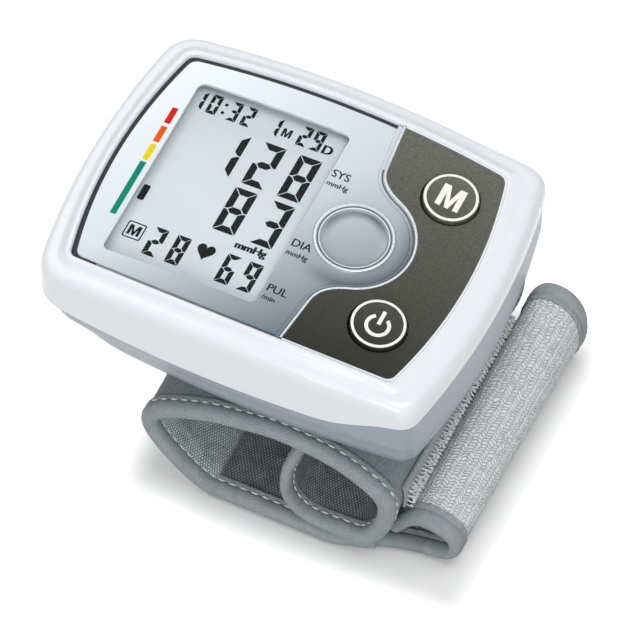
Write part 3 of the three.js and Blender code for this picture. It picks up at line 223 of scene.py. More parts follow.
def wrapped(name, rings):
    """A grid wrapped round rings of equal count and welded, left in edit mode."""
    rows, count = len(rings) - 1, len(rings[0])
    piece = sheet(name, count, rows, lambda u, v: rings[round(v * rows)][round(u * count) % count])
    edit_all(piece)
    bpy.ops.mesh.remove_doubles(threshold=1e-4)
    return piece


def skin(name, rings):
    """A closed body through rings of equal count, capped at the first and the last."""
    piece = wrapped(name, rings)
    bpy.ops.mesh.select_all(action="SELECT")
    bpy.ops.mesh.fill_holes(sides=0)
    return outward(piece)


def tube(name, rings):
    """A closed ring-shaped body: its section's corners each run round as a ring."""
    return outward(wrapped(name, [*rings, rings[0]]))


def prism(name, points, low, high):
    """An outline extruded straight up."""
    piece = added(name, bpy.ops.mesh.primitive_circle_add, vertices=len(points), fill_type="NGON")
    for vertex, point in zip(piece.data.vertices, points):
        vertex.co = (point[0], point[1], low)
    edit_all(piece)
    bpy.ops.mesh.extrude_region_move(TRANSFORM_OT_translate={"value": (0, 0, high - low)})
    return outward(piece)


def block(low, high):
    middle = [(a + b) / 2 for a, b in zip(low, high)]
    piece = added("block", bpy.ops.mesh.primitive_cube_add, size=1, location=middle)
    piece.scale = [b - a for a, b in zip(low, high)]
    bpy.ops.object.transform_apply(location=True, rotation=True, scale=True)
    return piece


def made_of(name, mesh):
    """An object with a mesh that was put together face by face."""
    data = bpy.data.meshes.new(name)
    mesh.to_mesh(data)
    mesh.free()
    piece = bpy.data.objects.new(name, data)
    bpy.context.scene.collection.objects.link(piece)
    return piece


def turns(count):
    """The angles of so many points round a circle."""
    return [math.tau * i / count for i in range(count)]


def circle(radius, height, count=64, centre=(0, 0)):
    x, y = centre
    return [Vector((x + radius * math.cos(a), y + radius * math.sin(a), height)) for a in turns(count)]


def turned(name, profile, count=64, centre=(0, 0)):
    """A round body from rows of radius and height."""
    return skin(name, [circle(radius, height, count, centre) for radius, height in profile])


def settle(piece, material, body, slot, origin, nodes=(), angle=35, flat=False):
    """Puts a finished piece into the frame: metres, finish, shading, its body and what it replaces."""
    piece.data.transform(Matrix.Translation(origin * MM) @ Matrix.Scale(MM, 4))
    piece.data.materials.clear()
    piece.data.materials.append(material)
    pick(piece)
    bpy.ops.object.shade_smooth_by_angle(angle=math.radians(angle))
    if flat:
        modify(piece, "WEIGHTED_NORMAL", keep_sharp=True)
    if body:
        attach(piece, body)
    if nodes:
        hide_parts(*nodes)
    return piece


# Materials


class Nodes:
    """A node tree that is being put together."""

    def __init__(self, tree):
        self.tree = tree

    def feed(self, node, inputs):
        """Puts values or links on a node's inputs."""
        for name, value in inputs.items():
            if isinstance(value, bpy.types.NodeSocket):
                self.tree.links.new(value, node.inputs[name])
            else:
                node.inputs[name].default_value = value
        return node

    def add(self, kind, inputs=(), **settings):
        node = self.tree.nodes.new(f"ShaderNode{kind}")
        for name, value in settings.items():
            setattr(node, name, value)
        return self.feed(node, dict(inputs))

    def number(self, kind, *terms):
        return self.add("Math", enumerate(terms), operation=kind).outputs["Value"]

    def vector(self, kind, *terms):
        made = self.add("VectorMath", enumerate(terms), operation=kind)
        return made.outputs["Value" if kind in ("DOT_PRODUCT", "LENGTH") else "Vector"]

    def spread(self, value, low, high, start=0.0, end=1.0, smooth=False):
        """A value that goes from low to high while the given one goes from start to end."""
        ends = {"Value": value, "From Min": start, "From Max": end, "To Min": low, "To Max": high}
        kind = "SMOOTHSTEP" if smooth else "LINEAR"
        return self.add("MapRange", ends, interpolation_type=kind).outputs["Result"]

    def ramp(self, share, *stops):
        """Colours at their places along a share."""
        made = self.add("ValToRGB", {"Fac": share})
        elements = made.color_ramp.elements
        for element, (position, tint) in zip(elements, (stops[0], stops[-1])):
            element.position, element.color = position, tint
        for position, tint in stops[1:-1]:
            elements.new(position).color = tint
        return made.outputs["Color"]


class Paint(Nodes):
    """A new material with its Principled shader and its texture coordinates."""

    def __init__(self, name):
        self.material = bpy.data.materials.new(name)
        self.material.use_nodes = True
        super().__init__(self.material.node_tree)
        self.shader = next(n for n in self.tree.nodes if n.type == "BSDF_PRINCIPLED")
        where = self.add("TexCoord").outputs
        self.place, self.uv = where["Object"], where["UV"]

    def grains(self, millimetres, detail=2.0, roughness=0.5):
        """Noise on Object coordinates, with features of that size."""
        pattern = {"Scale": 1 / (millimetres * MM), "Detail": detail, "Roughness": roughness}
        return self.add("TexNoise", {"Vector": self.place, **pattern}).outputs["Fac"]

    def relief(self, height, strength, depth):
        bump = self.add("Bump", {"Strength": strength, "Distance": depth * MM, "Height": height})
        self.feed(self.shader, {"Normal": bump.outputs["Normal"]})

    def done(self, tone, roughness, more=()):
        self.feed(self.shader, {"Base Color": tone, "Roughness": roughness, **dict(more)})
        return self.material


BLACK, WHITE = (0, 0, 0, 1), (1, 1, 1, 1)


def shade(rgba, share):
    return (*(c * share for c in rgba[:3]), 1.0)


def speckled(name, base, low, grain, roughness, bump, metallic=0.0, ior=1.5):
    """Moulded or painted surface: its colour varies slightly over grains of that size in millimetres."""
    paint = Paint(name)
    grains = paint.grains(grain, 3.0)
    paint.relief(grains, bump, 0.05)
    tone = paint.ramp(grains, (0.35, low), (0.65, base))
    rough = paint.spread(grains, roughness * 0.85, roughness * 1.15)
    return paint.done(tone, rough, {"Metallic": metallic, "IOR": ior})


def glossy_abs(case):
    # Moulded gloss ABS: bright white, a clear reflection with a faint orange peel
    return speckled("glossy_white_abs", case.white, shade(case.white, 0.985), 3.5, 0.2, 0.06, ior=1.53)


def satin_silver(case):
    # Silver satin paint on ABS: fine flakes that glint, soft broad reflections
    return speckled("satin_silver_paint", case.silver, shade(case.silver, 0.9), 0.3, 0.36, 0.08, 0.25)


def silver_print_with_painted_light(case):
    """Silver print under clear lacquer; painted reflection fades it light to dark, painted shade darkens
    hollows.
    """
    paint = Paint("silver_print_painted_light")
    # Painted reflection: light at the display's far corner, dark at the power button's near one
    along = paint.vector("DOT_PRODUCT", paint.place, (0.678, -0.735, 0))
    share = paint.spread(along, 0, 1, -51 * MM, 20 * MM)
    tone = paint.ramp(share, (0, case.fascia_light), (0.55, case.fascia_middle), (1, case.fascia_dark))
    # Painted shade in two hollows: the dish's far wall and the moat beside the button panel
    apart = paint.vector("SUBTRACT", paint.place, ((UNIT.x + DISH_X) * MM, 0, 0))
    level = paint.vector("MULTIPLY", apart, (1, 1, 0))
    far, way = paint.vector("LENGTH", level), paint.vector("NORMALIZE", level)
    # Radii where the hollow starts, is darkest and ends, the side it lies on, and what is left of the light
    for low, middle, high, heading, left in (
        (4.3, 5.8, 6.5, (-0.35, 0.94, 0), 0.28),
        (7.6, 10.2, 12.6, (0.8, -0.6, 0), 0.48),
    ):
        across = paint.spread(far, 0, 1, low * MM, high * MM)
        ring = paint.ramp(across, (0, BLACK), ((middle - low) / (high - low), WHITE), (1, BLACK))
        side = paint.spread(paint.vector("DOT_PRODUCT", way, heading), 0, 1, -0.2, 0.8, smooth=True)
        painted_shade = paint.spread(paint.number("MULTIPLY", ring, side), 1.0, left)
        tone = paint.vector("MULTIPLY", tone, painted_shade)
    flakes = paint.grains(0.25)
    paint.relief(flakes, 0.05, 0.05)
    return paint.done(tone, paint.spread(flakes, 0.34, 0.46), {"Metallic": 0.25})


def textured_paint(case):
    """Soft-feel metallic paint: olive grey, speckled with fine grains, with painted shade darker towards the
    power button.
    """
    paint = Paint("textured_olive_paint")
    grains = paint.grains(0.42, 4.0)
    paint.relief(grains, 0.25, 0.06)
    across = paint.add("SeparateXYZ", {"Vector": paint.place}).outputs["Y"]
    # Painted shade: the paint darkens towards the front, by the power button
    fade = paint.ramp(paint.spread(across, 0, 1, -26 * MM, 26 * MM), (0, case.panel_shaded), (1, case.panel))
    tone = paint.vector("MULTIPLY", fade, paint.spread(grains, 0.35, 1.65))
    return paint.done(tone, 0.48, {"Metallic": 0.2})


def clear_acrylic():
    """Thin clear acrylic window: what is behind shows through, with a faint gloss."""
    paint = Paint("clear_acrylic")
    return paint.done(linear("#8A9296"), paint.spread(paint.grains(12), 0.03, 0.07), {"Alpha": 0.03})


def display_glass(display):
    # Reflective liquid crystal behind a matt polariser: pale grey with a faint cloudiness
    return speckled("liquid_crystal_grey", display.glass, shade(display.glass, 0.95), 9, 0.3, 0.0)


def display_ink(display):
    # Liquid crystal segments that are on: nearly black, as matt as the polariser over them
    return speckled("liquid_crystal_black", display.ink, shade(display.ink, 0.8), 0.6, 0.5, 0.0, ior=1.12)


def printed_ink(name, tint, share):
    # Screen-printed ink: even and matt, with the slight mottle of the mesh
    return speckled(name, tint, shade(tint, share), 0.35, 0.55, 0.03, ior=1.2)


def cloth(name, tint, low, spacing, slant, depth, along, across, painted_light_levels=()):
    """Woven or knitted cloth: crossing threads over a soft mottle, on a UV map along by across mm.

    Painted light, if any, comes as levels: stops of share of the length and brightness, lit and shaded
    stretches.
    """
    paint = Paint(name)
    size = paint.add("Mapping", {"Vector": paint.uv, "Scale": (along, across, 1)}).outputs["Vector"]
    threads = []
    for sign in (-1, 1):
        turn = paint.add("Mapping", {"Vector": size, "Rotation": (0, 0, sign * math.radians(slant))})
        # One band of a wave texture is 0.314 / Scale long
        bands = {"Scale": 0.314 / spacing, "Distortion": 0.8, "Detail": 1.0, "Detail Scale": 3.0}
        wave = paint.add("TexWave", {"Vector": turn.outputs["Vector"], **bands})
        threads.append(wave.outputs["Fac"])
    weave = paint.number("MULTIPLY", *threads)
    paint.relief(weave, 0.8, depth)
    mixed = paint.number("ADD", weave, paint.grains(2.2, 5.0, 0.7))
    tone = paint.ramp(paint.spread(mixed, 0, 1, 0.25, 1.45), (0, low), (1, tint))
    # Painted light and shade along the strip
    if painted_light_levels:
        run = paint.add("SeparateXYZ", {"Vector": paint.uv}).outputs["X"]
        painted_light_curve = paint.add("FloatCurve", {"Value": run})
        points = painted_light_curve.mapping.curves[0].points
        points[0].location, points[1].location = painted_light_levels[0], painted_light_levels[-1]
        for stop in painted_light_levels[1:-1]:
            points.new(*stop)
        painted_light_curve.mapping.update()
        tone = paint.vector("MULTIPLY", tone, painted_light_curve.outputs["Value"])
    return paint.done(tone, 0.92, {"Sheen Weight": 0.15, "Specular IOR Level": 0.2})


def felt_cloth(cuff):
    """Brushed felt: short fibres lying all ways, mottled light and dark at about half a millimetre."""
    paint = Paint("brushed_grey_felt")
    fibres = paint.grains(0.7, 6.0, 0.75)
    paint.relief(fibres, 0.6, 0.25)
    mixed = paint.number("MULTIPLY_ADD", paint.grains(9), 0.35, fibres)
    tone = paint.ramp(mixed, (0.4, shade(cuff.felt, 0.55)), (0.95, shade(cuff.felt, 1.25)))
    return paint.done(tone, 0.95, {"Sheen Weight": 0.25, "Specular IOR Level": 0.2})


def loop_pile(cuff):
    """Knitted loop pile: pale loops in rows that lean to either side in turn, with painted shade on the low
    ground between.
    """
    paint = Paint("loop_pile")
    count = paint.number
    # The mesh carries each point's place among the rows and loops
    rows, places = (paint.add("Attribute", attribute_name=name).outputs["Fac"] for name in KNIT)
    beside = count("MULTIPLY_ADD", count("FRACT", rows), 2.0, -1.0)
    lean = count("MULTIPLY_ADD", count("PINGPONG", count("FLOOR", rows), 1.0), 1.0, -0.5)
    angle = count("MULTIPLY", count("MULTIPLY_ADD", lean, beside, places), math.tau)
    stroke = count("MULTIPLY_ADD", count("COSINE", angle), 0.5, 0.5)
    within = count("SUBTRACT", 1.0, count("POWER", count("ABSOLUTE", beside), 3.0))
    loops = count("MULTIPLY", count("MULTIPLY", stroke, within), 0.75)
    height = count("MULTIPLY_ADD", paint.grains(0.6, 5.0, 0.7), 0.8, loops)
    paint.relief(height, 0.9, 0.35)
    crushed_and_shaded = count("ADD", height, paint.spread(paint.grains(3.5), -0.3, 0.3))
    # Painted shade: the lower the pile, the darker; the patches are the pile's own uneven tone
    stops = ((0.1, 0.46), (0.5, 0.82), (0.95, 1.08))
    tone = paint.ramp(crushed_and_shaded, *((position, shade(cuff.pile, share)) for position, share in stops))
    return paint.done(tone, 0.95, {"Sheen Weight": 0.2, "Specular IOR Level": 0.2})


# Shapes that several pieces share, in millimetres in the case's own frame

SIDE_STEPS = 12
CORNER_STEPS = 10


def eased(share):
    """A share held between 0 and 1, with a soft start and end."""
    share = max(0.0, min(1.0, share))
    return share * share * (3 - 2 * share)


def outline(half_x, half_y, bow_x, bow_y, radius, end_radius):
    """Four bowed sides with rounded corners, as points in the same order for every size."""

    def side_x(y):
        return half_x - bow_x * (y / half_y) ** 2

    def side_y(x):
        return half_y - bow_y * (x / half_x) ** 2

    corner_x = side_x(half_y - bow_y)
    corner_y = side_y(corner_x)
    corner = Vector((corner_x, corner_y))

    def quarter(radius):
        start = Vector((side_x(corner_y - radius), corner_y - radius))
        end = Vector((corner_x - radius, side_y(corner_x - radius)))
        points = []
        for i in range(SIDE_STEPS):
            y = (corner_y - radius) * i / SIDE_STEPS
            points.append(Vector((side_x(y), y)))
        for i in range(CORNER_STEPS):
            t = i / CORNER_STEPS
            points.append(start * (1 - t) ** 2 + corner * 2 * t * (1 - t) + end * t**2)
        for i in range(SIDE_STEPS, 0, -1):
            x = (corner_x - radius) * i / SIDE_STEPS
            points.append(Vector((x, side_y(x))))
        return points

    left, right = quarter(radius), quarter(end_radius)
    back = [*right, Vector((0, half_y)), *(Vector((-p.x, p.y)) for p in reversed(left[1:]))]
    front = [*(-p for p in left), Vector((0, -half_y)), *(Vector((p.x, -p.y)) for p in reversed(right[1:]))]
    return back + front


def smoothed(rows, steps):
    """Rows of numbers with a smooth curve of that many steps through each gap."""
    fine = []
    for i in range(len(rows) - 1):
        a, b, c, d = (Vector(rows[max(0, min(k, len(rows) - 1))]) for k in (i - 1, i, i + 1, i + 2))
        for step in range(steps):
            t = step / steps
            bend = b * 2 + (c - a) * t + (a * 2 - b * 5 + c * 4 - d) * t**2 + (b * 3 - a - c * 3 + d) * t**3
            fine.append(bend / 2)
    return [*fine, Vector(rows[-1])]


def with_inward(points):
    """A line's points, each with the direction to the right of the way they run."""
    route = []
    for i, point in enumerate(points):
        along = (points[min(i + 1, len(points) - 1)] - points[max(i - 1, 0)]).normalized()
        route.append((point, Vector((along.y, -along.x))))
    return route


class Shell:
    """The case's outer form, from its settings."""

    parting, parting_rise, parting_gap, wall = 11.0, 2.0, 0.3, 1.8
    climb, climb_from, climb_to = 4.0, 0.53, 0.92
    bow, corner, end_corner, panel_bow, panel_corner = (3.6, 2.0), 5.5, 3.0, (3.8, 1.6), 1.6
    plate, plate_gap, plate_clear, deck = 0.7, 0.15, 0.3, 1.6

    def __init__(self, case):
        self.half_x, self.half_y = case.long / MM / 2, case.deep / MM / 2
        self.reach, self.pull = case.reach / MM, case.pull / MM
        self.height, self.arch = case.face / MM, case.arch / MM
        self.rim_x, self.rim_y, self.rise = case.rim_end / MM, case.rim_side / MM, case.rim_rise / MM
        self.panel_x, self.panel_y = self.half_x - self.rim_x, self.half_y - self.rim_y

    def face(self, x):
        return self.height - x * x / (2 * self.arch)

    def part(self, x):
        """Height of the parting line, which climbs round the button end."""
        share = x / self.half_x
        near = eased((share - self.climb_from) / (self.climb_to - self.climb_from))
        return self.parting + self.parting_rise * share**2 + self.climb * near

    def deck_top(self, x):
        return self.face(x) - self.plate - self.plate_gap

    def reached(self, points, reach, pull=0.0):
        """An outline drawn out at the button end and drawn in at the display end."""
        far = max(p.x for p in points)
        return [Vector((p.x * (1 + (reach if p.x > 0 else -pull) / far), p.y)) for p in points]

    def rim_ring(self, share, up, rise, end_rise, wall=0.0):
        edge = (*self.bow, self.corner, self.end_corner)
        inner = (*self.panel_bow, self.panel_corner, self.panel_corner)
        mix = [a + (b - a) * share for a, b in zip(edge, inner)]
        half_x, half_y = self.half_x - share * self.rim_x - wall, self.half_y - share * self.rim_y - wall
        points = outline(half_x, half_y, *mix)
        ring = []
        for p in self.reached(points, self.reach * (1 - share), self.pull * share):
            low = self.part(p.x) + self.parting_gap / 2
            near = eased((p.x / self.panel_x - 0.65) / 0.35)
            lift = self.rise * (rise + (end_rise - rise) * near)
            ring.append(Vector((p.x, p.y, low + (self.face(p.x) - low) * up + lift)))
        return ring

    def panel_outline(self, clear):
        """The face panel's edge, less a clearance."""
        corners = self.panel_corner, self.panel_corner
        points = outline(self.panel_x - clear, self.panel_y - clear, *self.panel_bow, *corners)
        return self.reached(points, 0, self.pull)

    def panel_ring(self, share, height):
        points = [p * share for p in self.panel_outline(0)]
        return [Vector((p.x, p.y, height(p.x))) for p in points]

    def belly_ring(self, left, right, side, height, wall=0.0):
        half = self.half_x + (self.reach - left - right) / 2 - wall
        points = outline(half, self.half_y - side - wall, *self.bow, self.corner, self.end_corner)
        return [Vector((p.x + (self.reach + left - right) / 2, p.y, height)) for p in points]

    def belly_edge(self, inset, drop):
        points = outline(self.half_x - inset, self.half_y - inset, *self.bow, self.corner, self.end_corner)
        return [Vector((p.x, p.y, self.part(p.x) - drop)) for p in self.reached(points, self.reach)]

    def tilted(self, x, y):
        """The face's own frame at a point."""
        return Matrix.Translation((x, y, self.face(x))) @ Matrix.Rotation(math.atan(x / self.arch), 4, "Y")


BUTTON_X, BUTTON_Y, BUTTON_RADIUS, BUTTON_CLEAR = 25.6, 15.45, 5.3, 0.25
DISH_X, DISH_HOLE, RING_STEPS = 13.5, 7.2, 96
CAP_SHARES = (1, 0.85, 0.7, 0.5, 0.3, 0.12)
SCREW_X, SCREW_Y, SCREW_HEAD = (8, 19.4), 22.3, 1.9
DISPLAY_EDGE, DISPLAY_THICK, LENS_THICK, SEAT = 1.1, 1.6, 0.8, 0.1
WINDOW_CORNER, WINDOW_CLEAR = 1.3, 0.3
# Insets from the case edge at the display end, the button end and the sides, height above the underside
BELLY = (
    *((16.2, 7.0, 6.1, 0), (14.9, 4.2, 4.5, 0.2), (12.7, 2.3, 3.3, 1), (9.6, 1.0, 2.3, 3.4)),
    *((6.7, 0.6, 1.6, 6.2), (4.4, 0.45, 1.1, 7.9), (2.6, 0.4, 0.8, 9)),
)
BELLY_INSET = 0.35
DOOR = ((-90, -24.3, -12), (-13, 24.3, 9.2))
DOOR_GAP = 0.3
DOOR_RIBS, RIB_SIDES = 5, 12
FASCIA_GAP = 0.85
BEYOND = 60  # outside the whole case


def grown(box, by):
    return [a - by for a in box[0]], [a + by for a in box[1]]


def button_hole(count, reach, centre=(0, 0)):
    radius = BUTTON_RADIUS + BUTTON_CLEAR
    return turned("hole", [(radius, -reach), (radius, reach)], count, centre)


def window(display, grow=0.0):
    """The left, front, right and back of the display's window, grown by an edge."""
    x, y = display.middle_x / MM, display.middle_y / MM
    half_x, half_y = display.long / MM / 2 + grow, display.deep / MM / 2 + grow
    return x - half_x, y - half_y, x + half_x, y + half_y


def belly(shell):
    """The lower case's outer form less its inside."""
    outer = [shell.belly_ring(*row) for row in smoothed(BELLY, 3)]
    shape = skin("belly", [*outer, shell.belly_edge(BELLY_INSET, shell.parting_gap / 2)])
    inner = []
    for i, (*insets, height) in enumerate(BELLY):
        inner.append(shell.belly_ring(*insets, height + shell.wall * (1 - i / len(BELLY)), shell.wall))
    return carve(shape, skin("inside", [*inner, shell.belly_edge(BELLY_INSET + shell.wall, -shell.parting)]))


# Operators


class MONITOR_OT_case(bpy.types.Operator):
    """Builds the white cover, the silver lower case and the battery cover"""

    bl_idname = "monitor.case"
    bl_label = "Case"

    def execute(self, context):
        case, display = context.scene.monitor_case, context.scene.monitor_display
        shell = Shell(case)
        white, silver = glossy_abs(case), satin_silver(case)
        cover = self.cover(shell, display)
        settle(cover, white, "case", "white_abs", UNIT, ["top_cover"], angle=50)
        settle(self.lower(shell), silver, "case", "silver_abs", UNIT, ["bottom_case"], angle=40)
        settle(self.door(shell), silver, "battery_door", "silver_abs", UNIT, ["battery_cover"], angle=40)
        return {"FINISHED"}

    def cover(self, shell, display):
        # Share of the rim crossed, share of the height, share of the rim's rise, the same at the button end
        profile = (
            *((0, 0, 0, 0), (0, 0.3, 0, 0), (0.005, 0.6, 0, 0), (0.025, 0.78, 0, 0.1), (0.07, 0.88, 0, 0.35)),
            *((0.15, 0.94, 0, 0.65), (0.28, 0.965, 0, 0.85), (0.42, 0.967, 0, 0.9), (0.55, 0.97, 0, 0.9)),
            *((0.66, 0.985, 0.15, 0.88), (0.75, 1, 0.6, 0.85), (0.83, 1, 0.95, 0.85), (0.9, 1, 1, 0.85)),
            *((0.96, 1, 0.92, 0.8), (1, 1, 0.6, 0.6)),
        )
        rings = [shell.rim_ring(*row) for row in smoothed(profile, 3)]
        rings += [shell.panel_ring(share, shell.deck_top) for share in CAP_SHARES]
        cover = skin("cover", rings)
        inside = [shell.rim_ring(*row, 0, 0, shell.wall) for row in ((0, -0.4), (0, 0.55), (0.1, 0.8))]
        inside += [shell.panel_ring(share, lambda x: shell.deck_top(x) - shell.deck) for share in CAP_SHARES]
        carve(cover, skin("inside", inside))
        left, front, right, back = window(display, DISPLAY_EDGE + WINDOW_CLEAR)
        carve(cover, block((left, front, 0), (right, back, 2 * shell.height)))
        for side in (-1, 1):
            hole = button_hole(64, 7)
            hole.data.transform(shell.tilted(BUTTON_X, side * BUTTON_Y))
            carve(cover, hole)
        return cover

    def lower(self, shell):
        lower = belly(shell)
        lower.name = "lower_case"
        carve(lower, block(*grown(DOOR, DOOR_GAP)))
        for x in SCREW_X:
            for y in (-SCREW_Y, SCREW_Y):
                carve(lower, turned("hole", [(SCREW_HEAD, -2), (SCREW_HEAD, 6)], 32, (x, y)))
        return lower

    def door(self, shell):
        door = carve(belly(shell), block(*DOOR), "INTERSECT")
        ribs = [door]
        # Finger ribs on the slope that faces outwards: its start, its run, a rib's radius from end to end
        slope_x, slope_z, run_x, run_z = -27.5, 1, 6, 5.2
        section = ((-9, 0.12), (-8.7, 0.4), (8.7, 0.4), (9, 0.12))
        for i in range(DOOR_RIBS):
            share = 0.3 + 0.1 * i
            rings = []
            for y, radius in section:
                middle = Vector((slope_x - run_x * share, y, slope_z + run_z * share))
                around = [Vector((math.cos(a), 0, math.sin(a))) for a in turns(RIB_SIDES)]
                rings.append([middle + way * radius for way in around])
            ribs.append(skin("rib", rings))
        return joined(ribs, "battery_door_panel")


def boundary(grow=0.0):
    """The line between fascia and button panel, from the back of the face to the front."""
    centre, radius, turn, half = Vector((DISH_X, 0)), 11.3, math.radians(68), 24
    angles = [turn * (1 - i / half) for i in range(2 * half + 1)]
    arc = [centre + Vector((math.cos(a), math.sin(a))) * radius for a in angles]
    back, back_neck, back_corner = Vector((10.9, 30)), Vector((12.35, 16)), Vector((12.75, 12.5))
    front, front_neck, front_corner = Vector((10.5, -30)), Vector((12.15, -16.2)), Vector((12.6, -12.5))

    def bend(*knots):
        return [Vector(p[:2]) for p in interpolate_bezier(*(knot.to_3d() for knot in knots), 12)]

    points = [
        back,
        *bend(back_neck, back_neck.lerp(back_corner, 0.75), arc[0].lerp(back_corner, 0.6), arc[0]),
        *arc[1:-1],
        *bend(arc[-1], arc[-1].lerp(front_corner, 0.6), front_neck.lerp(front_corner, 0.75), front_neck),
        front,
    ]
    return [point - inward * grow for point, inward in with_inward(points)]


class MONITOR_OT_face(bpy.types.Operator):
    """Builds the fascia with its dish, the ridge at its edge and the button panel"""

    bl_idname = "monitor.face"
    bl_label = "Face"

    def execute(self, context):
        case, display = context.scene.monitor_case, context.scene.monitor_display
        shell, rise = Shell(case), case.panel_rise / MM
        silver, slot = silver_print_with_painted_light(case), "fascia_silver"
        # Dark paint for the band in the fascia's gap: painted shade
        painted_shade_band = speckled("painted_shade_band_dark", linear("#2B3640"), linear("#20282F"), 0.6, 0.55, 0.1)
        # Dark paint in the grooves of the ridge and the dish: painted shade
        groove_shade = speckled("painted_shade_groove", linear("#56636E"), linear("#4B5761"), 0.5, 0.4, 0.05)
        # Bright paint on the beads is painted highlight: they show as thin bright lines
        bright = speckled("painted_highlight_silver", linear("#E9EDEF"), linear("#DDE2E5"), 0.4, 0.28, 0.04, 0.12)
        fascia = self.fascia(shell, display)
        settle(fascia, silver, "case", slot, UNIT, ["fascia_panel"], angle=30, flat=True)
        settle(self.painted_shade_band(shell), painted_shade_band, "case", "rubber", UNIT, angle=50)
        settle(self.ridge(shell, rise), silver, "case", slot, UNIT, angle=60)
        settle(self.groove(shell), groove_shade, "case", slot, UNIT, angle=60)
        settle(self.dish(shell), silver, "case", slot, UNIT, angle=60)
        settle(self.beads(shell, rise), bright, "case", slot, UNIT, angle=60)
        settle(self.lip(shell, rise), glossy_abs(case), "case", "white_abs", UNIT, angle=50)
        panel = self.panel(shell, rise)
        settle(panel, textured_paint(case), "case", "dark_panel", UNIT, ["button_panel"], angle=30, flat=True)
        return {"FINISHED"}

    def band(self, name, shell, inner, low, high):
        """A band round the face panel, in to a share of its size, between two depths under the face."""
        rings = []
        for share, drop in ((1.0, low), (1.0, high), (inner, high), (inner, low)):
            rings.append(shell.panel_ring(share, lambda x: shell.face(x) - drop))
        return tube(name, rings)

    def painted_shade_band(self, shell):
        """A dark band in the gap round the fascia, at its back and display end: painted shade."""
        band = self.band("fascia_painted_shade_band", shell, inner=0.968, low=0.84, high=0.25)
        carve(band, self.left_of(0, BEYOND), "INTERSECT")
        front = 1.8 - shell.panel_y
        return carve(band, block((-BEYOND, front, 0), (BEYOND, BEYOND, BEYOND)), "INTERSECT")

    def lip(self, shell, rise):
        """The cover's own lip in the narrow gap round the button panel."""
        lip = self.band("panel_lip", shell, inner=0.984, low=0.6 - rise, high=0.06 - rise)
        return carve(lip, self.left_of(0.4, BEYOND))

    def plate(self, shell, name, thick, clear):
        """The whole face panel as a flat plate with its top at height 0."""
        return prism(name, shell.panel_outline(clear), -thick, 0)

    def arched(self, shell, piece, top, width):
        """Rounds a flat plate's edges, cuts it into narrow strips and bends them to the face's arch."""
        modify(piece, "BEVEL", width=width, segments=2, limit_method="ANGLE", angle_limit=math.radians(50))
        edit_all(piece)
        strips = 60
        for i in range(1, strips):
            x = shell.panel_x * (2 * i / strips - 1)
            bpy.ops.mesh.select_all(action="SELECT")
            bpy.ops.mesh.bisect(plane_co=(x, 0, 0), plane_no=(1, 0, 0))
        begin()
        for vertex in piece.data.vertices:
            vertex.co.z += shell.face(vertex.co.x) + top
        return piece

    def left_of(self, grow, high=5):
        points = [*boundary(grow), Vector((-BEYOND, -45)), Vector((-BEYOND, 45))]
        return prism("left", points, -5, high)

    def fascia(self, shell, display):
        fascia = carve(self.plate(shell, "fascia", shell.plate, FASCIA_GAP), self.left_of(0), "INTERSECT")
        carve(fascia, prism("window", rounded(*window(display), WINDOW_CORNER), -5, 5))
        carve(fascia, turned("hole", [(DISH_HOLE, -3), (DISH_HOLE, 3)], 64, (DISH_X, 0)))
        return self.arched(shell, fascia, 0, 0.1)

    def ridge(self, shell, rise):
        # Distance from the line towards the button panel, height above the fascia
        section = (
            *((-1.3, -0.4), (-1.3, -0.02), (-1.15, 0.22), (-0.95, 0.36), (-0.72, 0.36), (-0.55, 0.24)),
            *((-0.42, 0.2), (-0.28, 0.34), (-0.12, rise - 0.1), (0.04, rise + 0.08), (0.18, rise + 0.06)),
            *((0.26, rise - 0.12), (0.26, -0.4)),
        )
        return self.carried("fascia_ridge", shell, section)

    def carried(self, name, shell, section):
        """A section carried along the line where fascia and button panel meet, as far as the rim."""
        lines = [boundary(across) for across, _ in section]
        inside = shell.panel_y - shell.plate_clear - 0.1
        rings = []
        for i in range(len(lines[0])):
            ring = []
            for line, (_, up) in zip(lines, section):
                x, y = line[i]
                if abs(y) > inside:
                    neighbour = line[1 if i == 0 else -2]
                    share = (inside - abs(neighbour.y)) / (abs(y) - abs(neighbour.y))
                    x, y = neighbour.lerp(line[i], share)
                ring.append(Vector((x, y, shell.face(x) + up)))
            rings.append(ring)
        return skin(name, rings)

    def groove(self, shell):
        """Painted shade: a dark line in the hollow between the ridge's two beads, with another in the dish's
        rim.
        """
        inner, outer = boundary(-0.66), boundary(-0.36)
        rings = []
        for a, b in list(zip(inner, outer))[1:-1]:
            low = [Vector((p.x, p.y, shell.face(p.x) + 0.1)) for p in (a, b)]
            high = [Vector((p.x, p.y, shell.face(p.x) + 0.3)) for p in (b, a)]
            rings.append([*low, *high])
        rim = self.dish_ring(shell, ((6.9, 0), (6.9, 0.2), (6.62, 0.2), (6.62, 0)))
        return joined([skin("ridge_line", rings), rim], "fascia_grooves")

    def dish_ring(self, shell, rows):
        """A ring round the dish, from the radius and height of its section's corners."""
        ring = tube("dish_ring", [circle(radius, up, RING_STEPS) for radius, up in rows])
        ring.data.transform(shell.tilted(DISH_X, 0))
        return ring

    def beads(self, shell, rise):
        """Crests painted bright as highlights: one on the ridge beside the button panel, two round the dish.
        """
        ends = ((0.3, rise - 0.06), (0.3, 0.3))
        section = ((-0.24, 0.3), (-0.16, rise - 0.1), (0.02, rise + 0.12), (0.18, rise + 0.11), *ends)
        outer = ((7.45, 0.1), (7.45, 0.3), (7.28, 0.37), (7.08, 0.34), (7.08, 0.1))
        inner = ((6.6, 0.1), (6.58, 0.22), (6.48, 0.25), (6.38, 0.2), (6.36, 0.1))
        rings = [self.dish_ring(shell, rows) for rows in (outer, inner)]
        return joined([self.carried("ridge_bead", shell, section), *rings], "fascia_beads")

    def dish(self, shell):
